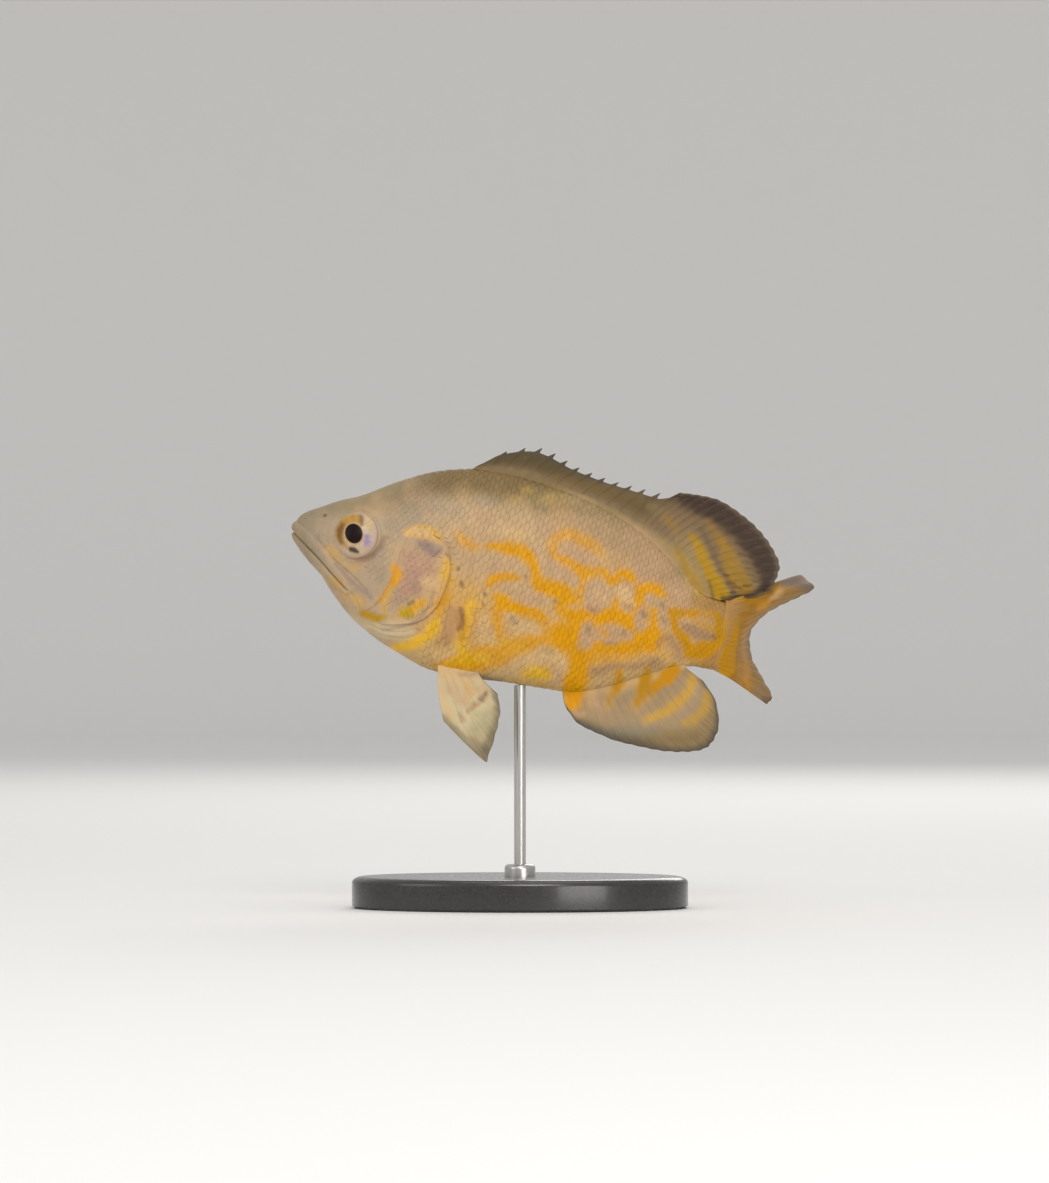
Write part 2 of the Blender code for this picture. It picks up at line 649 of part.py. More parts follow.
def pelvic_fin(name, side):
    """The spine leads and is short; the first soft ray is the longest."""
    table = np.array(PELVIC_RAYS)
    at, ridge = ray_columns(len(table))
    order = np.linspace(0, 1, len(table))
    root_along, tip_along, tip_up, tip_left = (np.interp(at, order, table[:, i]) for i in range(4))
    around = math.pi - np.arcsin((PELVIC_ROOT_LEFT / half_width(root_along)) ** (1 / KEEL))
    out = skin_normal(root_along, around)
    root = skin(root_along, around) + out * 1.6 * CLEAR
    tip = np.stack([tip_along, tip_up, tip_left], axis=1)
    reach = np.where(ridge > 0, 1.0, 0.96)
    turn = (1, 1, side)
    thick = np.full(len(at), 1.5 * MM)
    return fin(name, root * turn, tip * turn, ridge, thick, clear_fin_paint(), out * turn, -0.04, reach)


def pectoral_fin(name, side):
    """A rounded fan behind the gill cover, held off the flank."""
    at, ridge = ray_columns(PECTORAL_RAYS)
    line = line_through(PECTORAL_ROOT, 41)
    root_along, root_up = (np.interp(at, np.linspace(0, 1, 41), line[:, i]) for i in (0, 1))
    root = on_flank(root_along, root_up, 1, np.full(len(at), 1.6 * CLEAR))
    out = skin_normal(root_along, round_of(root_along, root_up))
    tip_along, tip_up = (smooth([(t[0], t[i]) for t in PECTORAL_TIPS])(at) for i in (1, 2))
    tip = np.stack([tip_along, tip_up, root[:, 2] + PECTORAL_OUT], axis=1)
    reach = np.where(ridge > 0, 1.0, 0.98)
    turn = (1, 1, side)
    thick = np.full(len(at), 1.2 * MM)
    return fin(name, root * turn, tip * turn, ridge, thick, clear_fin_paint(), out * turn, 0.0, reach, rows=5)


# Stand


def turned(name, sides, profile, centre_x, stretch=1.0, paint=None):
    """A solid turned about an upright axis from (radius, height) pairs; stretch widens it along X."""
    turn = np.linspace(0, 2 * math.pi, sides, endpoint=False)
    rings = []
    for radius, height in profile:
        x, y = centre_x + radius * stretch * np.cos(turn), radius * np.sin(turn)
        rings.append(np.stack([x, y, np.full(sides, height)], axis=1))
    ends = [np.array([centre_x, 0.0, profile[i][1]]) for i in (0, -1)]
    return loft(name, rings, *ends, paint=paint)


def stand_base():
    half, inner = BASE_WIDTH / 2, BASE_WIDTH / 2 - BASE_BEVEL
    low, high = BASE_BEVEL * 0.4, BASE_HEIGHT - BASE_BEVEL
    profile = [(half - low, 0.0), (half, low), (half, high)]
    for step in range(1, 5):
        turn = math.pi / 2 * step / 4
        profile.append((inner + BASE_BEVEL * math.cos(turn), high + BASE_BEVEL * math.sin(turn)))
    paint = material("stand_base", (0.035, 0.033, 0.032), 0.30)
    return finish(turned("stand_base", BASE_SIDES, profile, 0.0, BASE_LENGTH / BASE_WIDTH, paint), 35)


def stand_collar():
    low, high = BASE_HEIGHT + GAP, BASE_HEIGHT + GAP + COLLAR_HEIGHT
    edge = COLLAR_HEIGHT * 0.3
    bore = ROD_RADIUS + GAP
    outer = [(COLLAR_RADIUS, low), (COLLAR_RADIUS, high - edge), (COLLAR_RADIUS - edge, high)]
    turn = np.linspace(0, 2 * math.pi, ROD_SIDES * 2, endpoint=False)
    profile = outer + [(bore, high), (bore, low)]
    points, faces, count = [], [], len(turn)
    for radius, height in profile:
        points += [(ROD_X + radius * math.cos(a), radius * math.sin(a), height) for a in turn]
    for r in range(len(profile)):
        a, b = r * count, (r + 1) % len(profile) * count
        for i in range(count):
            j = (i + 1) % count
            faces += [(a + i, a + j, b + j), (a + i, b + j, b + i)]
    return finish(solid("stand_collar", points, faces, rod_paint()), 35)


def rod_paint():
    return material("stand_rod", (0.60, 0.58, 0.55), 0.25, 1.0)


def belly_height(x, y):
    """World height of the body's underside above a point of the floor."""
    along = np.linspace(0.3, 0.8, 2001)
    around = math.pi - np.arcsin(np.clip(abs(y) / STANDARD_LENGTH / half_width(along), 0, 1) ** (1 / KEEL))
    under = place(skin(along, around))
    return float(np.interp(x, under[:, 0], under[:, 2]))


def stand_rod():
    turn = np.linspace(0, 2 * math.pi, ROD_SIDES, endpoint=False)
    x, y = ROD_X + ROD_RADIUS * np.cos(turn), ROD_RADIUS * np.sin(turn)
    foot = BASE_HEIGHT + GAP
    top = np.array([belly_height(a, b) for a, b in zip(x, y)]) - GAP
    rings = [np.stack([x, y, np.full(ROD_SIDES, foot)], axis=1), np.stack([x, y, top], axis=1)]
    ends = [np.array([ROD_X, 0, foot]), np.array([ROD_X, 0, belly_height(ROD_X, 0.0) - GAP])]
    return finish(loft("stand_rod", rings, *ends, paint=rod_paint()), 35)


def main():
    for old in list(bpy.data.objects):
        bpy.data.objects.remove(old)
    head_and_jaw()
    body = cut(trunk(), [gill_cover("pocket", side, CLEAR) for side in (1, -1)])
    finish(keep_faces(body, bodies_of(body)[0]))
    finish(tail_stem())
    lip_paint = material("lips", (0.60, 0.50, 0.34), 0.35)
    finish(lip("upper_lip", UPPER_LIP, 1, paint=lip_paint))
    finish(lip("lower_lip", LOWER_LIP, -1, paint=lip_paint))
    for side, word in ((1, "left"), (-1, "right")):
        finish(gill_cover(f"gill_cover_{word}", side, paint=skin_paint()), 40)
        finish(eye(side, f"eye_{word}", paint=material("eye", (0.10, 0.07, 0.03), 0.08)))
        pelvic_fin(f"pelvic_fin_{word}", side)
        pectoral_fin(f"pectoral_fin_{word}", side)
    dorsal_fin()
    anal_fin()
    tail_fin()
    stand_base()
    stand_collar()
    stand_rod()


main()
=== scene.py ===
import itertools
import math

import bmesh
import bpy
import numpy as np
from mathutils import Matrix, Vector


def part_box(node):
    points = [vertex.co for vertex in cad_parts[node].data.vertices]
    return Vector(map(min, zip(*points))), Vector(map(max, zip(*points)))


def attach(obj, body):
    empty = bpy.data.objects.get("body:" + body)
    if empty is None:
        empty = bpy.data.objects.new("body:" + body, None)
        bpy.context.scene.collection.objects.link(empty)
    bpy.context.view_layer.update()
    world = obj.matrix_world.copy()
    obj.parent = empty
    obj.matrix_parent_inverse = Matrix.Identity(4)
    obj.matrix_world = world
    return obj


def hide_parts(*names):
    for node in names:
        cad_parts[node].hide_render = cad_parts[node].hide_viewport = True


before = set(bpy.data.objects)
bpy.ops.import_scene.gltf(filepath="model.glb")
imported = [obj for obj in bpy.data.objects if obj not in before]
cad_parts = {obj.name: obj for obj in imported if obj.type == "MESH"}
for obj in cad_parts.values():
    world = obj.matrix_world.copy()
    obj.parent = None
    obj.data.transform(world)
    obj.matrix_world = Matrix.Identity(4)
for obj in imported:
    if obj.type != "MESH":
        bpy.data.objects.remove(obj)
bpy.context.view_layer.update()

fish = {
    "length": 0.097,  # metres from the snout tip to the tail root
    "noseUp": math.radians(14.4),
    "snout": (-0.0497, 0.0838),  # world X and Z
}
mm = 0.001 / fish["length"]  # one millimetre as a share of the length

cameraView = {
    "distance": 1.50,  # metres from the fish's middle plane
    "pointSize": 0.00022,  # metres that one point of the side view covers on that plane
    "origin": (520.0, 908.0),  # the point of the side view that shows the stand's foot
    "size": (1049, 1183),
}


# Curves and noise


def smoothCurve(points):
    # a curve through the points that keeps their rises and falls
    table = np.array(points, float)
    x, y = table[:, 0], table[:, 1]
    step = np.diff(x)
    rise = np.diff(y) / step
    slope = np.empty(len(x))
    slope[0], slope[-1] = rise[0], rise[-1]
    for i in range(1, len(x) - 1):
        a, b = rise[i - 1], rise[i]
        slope[i] = 0.0 if a * b <= 0 else 2 * a * b / (a + b)

    def value(at):
        at = np.clip(np.asarray(at, float), x[0], x[-1])
        i = np.clip(np.searchsorted(x, at, side="right") - 1, 0, len(step) - 1)
        t = (at - x[i]) / step[i]
        start = y[i] * (2 * t**3 - 3 * t**2 + 1) + slope[i] * step[i] * (t**3 - 2 * t**2 + t)
        end = y[i + 1] * (3 * t**2 - 2 * t**3) + slope[i + 1] * step[i] * (t**3 - t**2)
        return start + end

    return value


def readColumns(keys, table, at):
    # smooth curves through each column of a table, read at new keys
    return [smoothCurve(list(zip(keys, column)))(at) for column in np.transpose(table)]


def lineThrough(points, samples):
    # points evenly spaced on a smooth line through the given ones
    table = np.array(points, float)
    steps = np.concatenate([[0], np.cumsum(np.linalg.norm(np.diff(table, axis=0), axis=1))])
    return np.stack(readColumns(steps, table, np.linspace(0, steps[-1], samples)), axis=1)


def lineDistance(spots, line):
    # for each spot: distance to the line, +1 on the line's left and -1 on its right, and share of its length
    line = np.array(line, float)
    spots = np.asarray(spots, float)
    best = np.full(len(spots), np.inf)
    side, run = np.ones(len(spots)), np.zeros(len(spots))
    lengths = np.linalg.norm(np.diff(line, axis=0), axis=1)
    ends = np.concatenate([[0], np.cumsum(lengths)]) / lengths.sum()
    for i, length in enumerate(lengths):
        step = line[i + 1] - line[i]
        t = np.clip((spots - line[i]) @ step / length**2, 0, 1)
        gap = spots - line[i] - t[:, None] * step
        far = np.hypot(gap[:, 0], gap[:, 1])
        closer = far < best
        best[closer] = far[closer]
        side[closer] = np.where(step[0] * gap[:, 1] - step[1] * gap[:, 0] >= 0, 1, -1)[closer]
        run[closer] = (ends[i] + t * (ends[i + 1] - ends[i]))[closer]
    return best, side, run


def wander(points, size, seed):
    # smooth random values from -1 to 1 that change over the given size
    cell = np.asarray(points, float) / size + seed * 17.31
    low = np.floor(cell)
    part = cell - low
    part = part * part * (3 - 2 * part)
    total = np.zeros(len(cell))
    lattice = np.array([12.9898, 78.233, 37.719])[: cell.shape[1]]
    for corner in itertools.product((0, 1), repeat=cell.shape[1]):
        weight = np.prod(np.where(np.array(corner) == 1, part, 1 - part), axis=1)
        total += weight * (np.sin((low + corner) @ lattice + seed) * 43758.5453 % 1)
    return total * 2 - 1


def ease(value):
    value = np.clip(value, 0, 1)
    return value * value * (3 - 2 * value)


def linearColour(colour):
    # from the usual 0 to 255 values to the values that shaders count in
    part = np.array(colour, float) / 255
    return np.where(part <= 0.04045, part / 12.92, ((part + 0.055) / 1.055) ** 2.4)


# The body's form, repeated from the solids

bodyForm = {
    "back": [
        (0.000, 0.0000), (0.002, 0.0160), (0.008, 0.0300), (0.0255, 0.0460), (0.046, 0.0590), (0.086, 0.0850),
        (0.127, 0.1060), (0.206, 0.1610), (0.288, 0.2060), (0.375, 0.2315), (0.467, 0.2390), (0.560, 0.2340),
        (0.655, 0.2200), (0.740, 0.1960), (0.820, 0.1600), (0.890, 0.1150), (0.945, 0.0840), (1.000, 0.0775),
    ],
    "belly": [
        (0.000, 0.0000), (0.0015, -0.0090), (0.005, -0.0185), (0.018, -0.0315), (0.045, -0.0540),
        (0.076, -0.0800), (0.118, -0.1215), (0.190, -0.1750), (0.280, -0.2125), (0.386, -0.2365),
        (0.449, -0.2350), (0.538, -0.2230), (0.630, -0.2145), (0.696, -0.2080), (0.770, -0.1800),
        (0.850, -0.1330), (0.920, -0.0930), (0.965, -0.0800), (1.000, -0.0785),
    ],
    "halfWidth": [
        (0.000, 0.0000), (0.002, 0.0150), (0.008, 0.0270), (0.020, 0.0390), (0.045, 0.0520), (0.085, 0.0650),
        (0.140, 0.0790), (0.220, 0.0920), (0.320, 0.0990), (0.420, 0.0985), (0.550, 0.0890), (0.700, 0.0670),
        (0.820, 0.0470), (0.920, 0.0320), (1.000, 0.0235),
    ],
    "widestAt": [(0.000, 0.0), (0.100, -0.012), (0.300, -0.032), (0.500, -0.015), (0.800, 0.0), (1.000, 0.0)],
    "crest": 1.12,  # fullness of the flank above and below its widest line: lower is fuller, 1 an ellipse
    "keel": 0.92,
    "swingStart": 0.50,  # where the body starts to swing to the right, and how far its end has swung
    "tailSwing": 0.048,
}
back, belly = smoothCurve(bodyForm["back"]), smoothCurve(bodyForm["belly"])
halfWidth, widestAt = smoothCurve(bodyForm["halfWidth"]), smoothCurve(bodyForm["widestAt"])
tailHeading = math.atan(3 * bodyForm["tailSwing"] / (1 - bodyForm["swingStart"]))


def swing(along):
    # how far to the left the middle plane lies, so less than nothing where the tail swings to the right
    start = bodyForm["swingStart"]
    behind = np.clip((np.asarray(along, float) - start) / (1 - start), 0, None)
    return -bodyForm["tailSwing"] * behind**3


def toWorld(points):
    points = np.asarray(points, float) * fish["length"]
    along, up, left = points[..., 0], points[..., 1], points[..., 2]
    cosine, sine = math.cos(fish["noseUp"]), math.sin(fish["noseUp"])
    x = fish["snout"][0] + along * cosine + up * sine
    z = fish["snout"][1] - along * sine + up * cosine
    return np.stack([x, -left, z], axis=-1)


def skinPoint(along, around):
    # around is 0 on the back, half pi on the left flank and pi on the belly
    along, around = np.broadcast_arrays(np.asarray(along, float), np.asarray(around, float))
    middle = widestAt(along)
    rise, out = np.cos(around), np.sin(around)
    up = middle + np.where(rise > 0, back(along) - middle, middle - belly(along)) * rise
    shape = np.where(rise > 0, bodyForm["crest"], bodyForm["keel"])
    left = halfWidth(along) * np.sign(out) * np.abs(out) ** shape
    return np.stack([along, up, left + swing(along)], axis=-1)


def skinNormal(along, around):
    # outward, from steps to either side of the place
    along, around = np.broadcast_arrays(np.asarray(along, float), np.asarray(around, float))
    along = np.maximum(along, 0.0015)
    fore, aft = skinPoint(along - 0.001, around), skinPoint(along + 0.001, around)
    one, other = skinPoint(along, around - 0.02), skinPoint(along, around + 0.02)
    normal = np.cross(other - one, aft - fore)
    return normal / np.linalg.norm(normal, axis=-1, keepdims=True)


def roundOf(along, up):
    # how far round the left flank the point at (along, up) lies
    middle = widestAt(along)
    tall = np.where(up > middle, back(along) - middle, middle - belly(along))
    return np.arccos(np.clip((up - middle) / tall, -1, 1))


def onFlank(along, up, side, lift):
    # points lifted off the flank that shows at (along, up) from the side; side is 1 for left and -1 for right
    around = roundOf(along, up)
    left = skinPoint(along, around) + skinNormal(along, around) * np.asarray(lift)[..., None]
    centre = swing(along)
    return np.stack([left[..., 0], left[..., 1], centre + side * (left[..., 2] - centre)], axis=-1)


def viewSpot(points):
    # where the side view shows fish points; both flanks are seen as the left one
    points = np.asarray(points, float)
    along, up, left = points[..., 0], points[..., 1], points[..., 2]
    centre = swing(np.minimum(along, 1.0))
    world = toWorld(np.stack([along, up, centre + np.abs(left - centre)], axis=-1))
    wide, high = cameraView["size"]
    midX = (wide / 2 - cameraView["origin"][0]) * cameraView["pointSize"]
    midZ = (cameraView["origin"][1] - high / 2) * cameraView["pointSize"]
    near = cameraView["distance"] / (cameraView["distance"] + world[..., 1]) / cameraView["pointSize"]
    across, down = wide / 2 + (world[..., 0] - midX) * near, high / 2 - (world[..., 2] - midZ) * near
    return np.stack([across, down], axis=-1)


# Markings

palette = {
    "ground": (192, 159, 118), "warm": (208, 163, 103), "bellyTone": (200, 166, 110), "rosy": (187, 150, 114),
    "nape": (158, 136, 96), "olive": (118, 97, 60), "face": (172, 151, 124), "snout": (143, 129, 104),
    "brow": (144, 126, 93), "amber": (220, 152, 0), "deepAmber": (218, 150, 0), "stemAmber": (198, 137, 0),
    "yellow": (230, 178, 34), "softYellow": (210, 165, 84), "oliveYellow": (190, 152, 10),
    "cream": (214, 174, 122), "glow": (212, 160, 74), "pinkish": (194, 156, 118), "pinkBrown": (168, 126, 88),
    "grey": (150, 123, 94), "greyPink": (165, 128, 94), "plum": (146, 98, 78), "violet": (146, 122, 113),
    "rose": (186, 142, 118), "lilac": (158, 140, 124), "brown": (118, 86, 54), "throat": (204, 182, 144),
    "stemTone": (166, 126, 72), "finBase": (126, 106, 76), "finKhaki": (154, 130, 86),
    "finOlive": (93, 78, 48), "finSmoke": (80, 72, 54), "finDark": (50, 38, 33), "finYellow": (152, 116, 32),
    "finGold": (170, 131, 14), "finWeb": (122, 100, 72), "finGrey": (142, 124, 100), "finRim": (112, 98, 82),
    "analTone": (160, 136, 102), "analOlive": (124, 104, 62), "analBlue": (134, 127, 106),
    "analEdge": (66, 65, 58), "analAmber": (182, 130, 0), "analYellow": (200, 155, 40),
    "pelvicWhite": (200, 182, 144), "pelvicGreen": (168, 160, 122), "pelvicTip": (116, 106, 84),
    "tailGround": (156, 110, 20), "tailTone": (142, 112, 56), "tailTip": (118, 103, 94),
    "tailGold": (182, 130, 0), "tailLine": (182, 132, 60),
}
palette = {name: linearColour(colour) for name, colour in palette.items()}

# Each mark: colour, strength, softness in points, and its line of (across, down, half width) on the side view
markForm = {
    "melt": 1.75,  # how much softer the marks are than they say, on the body and on the head
    "headMelt": 1.35,
    "glow": 0.42,  # strength and reach of the pale glow round the marks of these colours
    "glowReach": 3.4,
    "glowing": ("amber", "deepAmber", "stemAmber", "yellow"),
    "drift": ((15, 2.0), (5, 1.3)),  # size of the waves in the edges and how far they go, in points
    "thin": 0.08,  # how much thinner the cover is in patches, and their size
    "thinSize": 6,
}
bodyMarks = [
    # broad tones of the upper flank and the blotches along the back
    ("cream", 0.45, 10, [(500, 532, 6), (530, 537, 6)]),
    ("face", 0.70, 11, [(428, 506, 6), (458, 509, 8)]),
    ("rosy", 0.70, 18, [(560, 515, 6), (604, 526, 8), (640, 545, 8), (662, 566, 6)]),
    ("lilac", 0.50, 10, [(474, 500, 5), (490, 501, 5)]),
    ("rosy", 0.75, 9, [(634, 532, 4), (652, 548, 5), (668, 570, 5)]),
    ("olive", 0.55, 7, [(508, 486, 3), (518, 490, 4)]),
    ("olive", 0.45, 7, [(530, 493, 3), (535, 505, 3.5), (546, 510, 3)]),
    ("olive", 0.35, 9, [(556, 505, 3), (590, 512, 3)]),
    ("softYellow", 0.40, 6, [(525, 491, 3), (530, 491, 3)]),
    ("softYellow", 0.35, 6, [(545, 497, 3), (551, 498, 3)]),
    ("pinkish", 0.60, 12, [(470, 566, 6), (510, 568, 6)]),
    ("glow", 0.55, 14, [(470, 592, 11), (476, 616, 12), (478, 640, 10)]),
    # the orange field of the rear flank, its leg to the anal fin and the tail stem
    ("amber", 0.99, 8, [(562, 638, 15), (590, 637, 19), (625, 637, 19), (650, 640, 13)]),
    ("amber", 0.55, 7, [(592, 659, 3), (622, 660, 3)]),
    ("amber", 0.99, 6, [(560, 612, 4), (575, 618, 9), (600, 618, 9), (625, 618, 9), (641, 611, 6)]),
    ("deepAmber", 0.70, 8, [(646, 643, 7), (658, 640, 6)]),
    ("amber", 0.99, 7, [(580, 658, 12), (576, 680, 13), (574, 695, 11), (572, 704, 8)]),
    ("stemAmber", 0.97, 5, [(671, 613, 6), (683, 612, 5.4), (695, 613, 3.4)]),
    ("stemTone", 0.90, 7, [(684, 601, 4), (698, 601, 7), (714, 607, 7), (730, 609, 6)]),
    ("stemTone", 0.80, 5, [(690, 666, 3), (702, 668, 4), (714, 663, 5), (722, 656, 3)]),
    ("stemAmber", 0.60, 5, [(695, 613, 3), (708, 612, 3), (718, 616, 3.4)]),
    ("tailGold", 0.98, 3.4, [(718, 615, 3), (720, 624, 4.4), (719.5, 633, 4.6), (716, 643, 5)]),
    ("stemAmber", 0.97, 5, [(673, 616, 4), (676, 627, 5), (684, 638, 6)]),
    ("stemAmber", 0.99, 5, [(684, 641, 5), (692, 651, 9), (703, 652, 9.6), (713, 647, 7)]),
    # the band over the belly
    ("amber", 0.99, 6, [(438, 666, 3.5), (452, 665, 6), (467, 662, 9), (482, 658, 12), (496, 654, 13.4),
        (511, 650, 12), (526, 645, 11), (541, 639, 11), (556, 638, 14)]),
    ("yellow", 0.30, 7, [(490, 641, 5), (505, 641, 7), (521, 645, 5)]),
    ("yellow", 0.55, 6, [(446, 664, 4), (466, 660, 7), (482, 658, 7)]),
    # strokes of the front flank
    ("amber", 0.62, 6, [(458, 535, 3), (466, 541, 5), (475, 547, 4)]),
    ("amber", 0.99, 5, [(488, 545, 3.2), (500, 547, 4.4), (511, 549, 5), (521, 551, 5.4), (528, 556, 6),
        (532, 563, 5.2), (534, 570, 3)]),
    ("amber", 0.99, 5, [(534, 570, 3.4), (536, 579, 6), (541, 584, 7), (550, 586, 7), (560, 591, 9.5),
        (567, 597, 8), (561, 604, 5)]),
    ("amber", 0.99, 5, [(491, 584, 4), (497, 578, 5), (505, 576, 5), (513, 576, 4), (518, 578, 2.4)]),
    ("amber", 0.99, 5, [(496, 597, 3.4), (503, 602, 6.4), (511, 606, 7), (520, 609, 6.4), (530, 612, 6.4),
        (538, 616, 6.4), (543, 621, 4)]),
    ("amber", 0.99, 6, [(501, 601, 5.4), (497, 611, 5.4), (498, 622, 4.6), (500, 634, 4)]),
    ("yellow", 0.82, 7, [(471, 605, 4.4), (469, 618, 4), (465, 632, 5.4), (462, 645, 5.4), (461, 655, 6)]),
    ("yellow", 0.85, 6, [(524, 672, 4), (533, 672, 6.6), (543, 674, 7), (551, 676, 4)]),
    ("softYellow", 0.70, 6, [(520, 682, 3), (540, 684, 4), (560, 692, 4)]),
    # loops and hooks above the field
    ("amber", 0.62, 7, [(552, 549, 3.4), (556, 540, 5), (563, 536, 6), (575, 536, 5.4), (585, 541, 6.4),
        (593, 545, 5), (600, 551, 3.4)]),
    ("amber", 0.86, 6, [(556, 553, 3), (564, 559, 4.4), (572, 565, 5.4), (580, 570, 7), (588, 572, 7),
        (596, 571, 5.4), (603, 572, 3.4)]),
    ("amber", 0.80, 6, [(584, 577, 5), (583, 586, 4.6), (581, 594, 4.4), (577, 601, 3.4)]),
    ("amber", 0.99, 5, [(606, 574, 3), (611, 579, 5.4), (617, 578, 5.4), (622, 573, 4.6), (628, 574, 5),
        (633, 579, 3.4)]),
    ("amber", 0.99, 5, [(637, 605, 4.4), (639, 595, 5.4), (643, 588, 6), (651, 586, 5.4), (660, 590, 6.6),
        (665, 594, 4)]),
    ("amber", 0.85, 5, [(616, 600, 4), (613, 612, 5)]),
    ("amber", 0.88, 5, [(654, 611, 4), (655, 622, 5.4), (653, 631, 4)]),
    ("softYellow", 0.50, 7, [(676, 553, 3), (684, 563, 5), (691, 575, 6), (697, 588, 6), (700, 599, 5)]),
    ("softYellow", 0.45, 6, [(600, 551, 3), (603, 560, 3)]),
    # pale patches
    ("pinkish", 0.85, 6, [(564, 549, 4), (575, 552, 6), (585, 557, 6), (594, 562, 4)]),
    ("pinkish", 0.80, 6, [(547, 562, 4), (557, 570, 6), (567, 577, 7), (576, 582, 5)]),
    ("pinkish", 0.80, 5, [(508, 589, 4), (518, 593, 6.4), (530, 598, 6), (541, 601, 4.4)]),
    ("cream", 0.75, 5, [(483, 618, 4), (482, 628, 7), (484, 637, 8), (490, 640, 6)]),
    ("cream", 0.92, 5, [(512, 618, 4), (518, 625, 7), (526, 629, 6.4), (536, 631, 4.4)]),
    ("grey", 0.75, 4, [(512, 619, 2.4), (514, 622, 2.4)]),
    ("cream", 0.86, 6, [(514, 663, 4), (525, 658, 5.4), (535, 656, 6), (545, 653, 7), (554, 655, 7.6),
        (561, 661, 7), (565, 669, 5)]),
    ("grey", 0.55, 5, [(547, 650, 3), (551, 651, 3)]),
    ("pinkish", 0.75, 6, [(558, 672, 6), (557, 685, 5)]),
    ("greyPink", 0.80, 6, [(594, 670, 5), (606, 668, 4), (626, 667, 3), (642, 665, 4), (658, 664, 5)]),
    ("cream", 0.55, 6, [(440, 655, 5), (452, 651, 5)]),
    # eye spots in and round the field
    ("pinkish", 0.92, 5, [(594, 588, 7.4), (597, 598, 11), (595, 607, 8)]),
    ("cream", 0.60, 6, [(600, 592, 4), (602, 600, 4)]),
    ("cream", 0.92, 5, [(624, 586, 4), (626, 596, 6.4), (627, 607, 6)]),
    ("pinkish", 0.92, 5, [(587, 628, 6.6), (587, 637, 9), (585, 643, 8)]),
    ("pinkish", 0.95, 5, [(600, 635, 7), (610, 634, 10), (620, 634, 9), (627, 635, 6)]),
    ("amber", 0.75, 4, [(602, 634, 3), (606, 634, 3.4)]),
    ("pinkish", 0.90, 4, [(643, 607, 3), (641, 617, 5.6), (641, 627, 5.4)]),
    ("pinkish", 0.88, 5, [(663, 600, 4.4), (663, 612, 4.4), (664, 625, 4.6)]),
    ("greyPink", 0.95, 4, [(684, 625, 3), (692, 629, 6), (701, 634, 6.4), (709, 637, 4)]),
    ("stemAmber", 0.50, 6, [(696, 620, 3), (704, 624, 4), (711, 630, 3)]),
    ("stemAmber", 0.92, 4, [(619, 673, 3), (618, 677, 4), (618, 682, 4)]),
    ("analAmber", 0.80, 4, [(648, 669, 3), (646, 676, 5)]),
    ("stemAmber", 0.90, 4, [(666, 675, 5), (673, 670, 5)]),
    ("greyPink", 0.72, 6, [(660, 644, 3), (664, 638, 4), (670, 639, 5), (676, 648, 4.4), (680, 659, 3.4)]),
    ("softYellow", 0.85, 4, [(664, 655, 4.4), (667, 656, 4)]),
    ("pinkish", 0.80, 6, [(676, 584, 6), (682, 595, 9), (686, 603, 5)]),
    ("stemTone", 0.45, 6, [(692, 597, 3), (702, 600, 4), (712, 606, 3)]),
    # small spots
    ("pinkBrown", 0.80, 4, [(591, 609, 3), (594, 611, 3)]),
    ("pinkBrown", 0.75, 4, [(626, 607, 3), (629, 608, 2.6)]),
    ("grey", 0.85, 4, [(587, 629, 2.6), (588, 633, 2.6)]),
    ("grey", 0.70, 3, [(624, 632, 2.2), (624, 635, 2.2)]),
    ("grey", 0.60, 3, [(606, 643, 1.8), (615, 643, 1.8)]),
    ("grey", 0.85, 3, [(644, 614, 2.4), (646, 616, 2.2)]),
    ("grey", 0.75, 3, [(661, 604, 2.2), (662, 606, 2)]),
    ("grey", 0.65, 3, [(664, 618, 2.2), (665, 621, 2)]),
    ("brown", 0.60, 3, [(711, 636, 1.4), (713, 638, 1.2)]),
    ("brown", 0.80, 1.8, [(457, 569, 1.2), (459, 570, 1.2)]),
    ("brown", 0.80, 1.8, [(461, 583, 1.4), (462, 585, 1.2)]),
    ("brown", 0.75, 1.8, [(484, 592, 1.4), (485, 594, 1.2)]),
    ("brown", 0.60, 1.8, [(482, 603, 1.2), (483, 605, 1.0)]),
    ("brown", 0.70, 1.8, [(446, 554, 1.2), (447, 556, 1.2)]),
    ("brown", 0.60, 1.8, [(555, 600, 1.2), (556, 602, 1.2)]),
    ("brown", 0.55, 1.8, [(524, 574, 1.0), (525, 576, 1.0)]),
    # painted shade along the line where the belly turns under
    ("violet", 0.60, 4, [(458, 673, 1.4), (474, 675, 2.0), (490, 679, 1.8), (502, 683, 1.2)]),
    # behind the gill cover
    ("yellow", 0.62, 5, [(445, 561, 3), (447, 567, 5), (445, 578, 4.4)]),
    ("glow", 0.90, 6, [(450, 584, 6), (447, 596, 7), (440, 608, 6)]),
    ("pinkBrown", 0.62, 6, [(450, 606, 4), (452, 616, 8), (450, 628, 9), (444, 638, 9)]),
    # painted shade: the dark plum crescent in the gap at the pectoral fin's root
    ("plum", 0.85, 2.6, [(461, 610, 1.4), (463.6, 616, 2.2), (463.4, 622, 2.2), (460, 629, 1.6)]),
    ("yellow", 0.88, 5, [(391, 650, 4), (404, 647, 4.4), (418, 641, 5), (429, 633, 5), (436, 622, 5)]),
    ("amber", 0.58, 5, [(440, 612, 4), (443, 603, 4.4), (447, 597, 4)]),
]
bodyMarks = [(name, strength, soft * markForm["melt"], line) for name, strength, soft, line in bodyMarks]
glowMarks = [
    ("glow", markForm["glow"] * strength, soft * markForm["glowReach"] / markForm["melt"], line)
    for name, strength, soft, line in bodyMarks if name in markForm["glowing"]
]
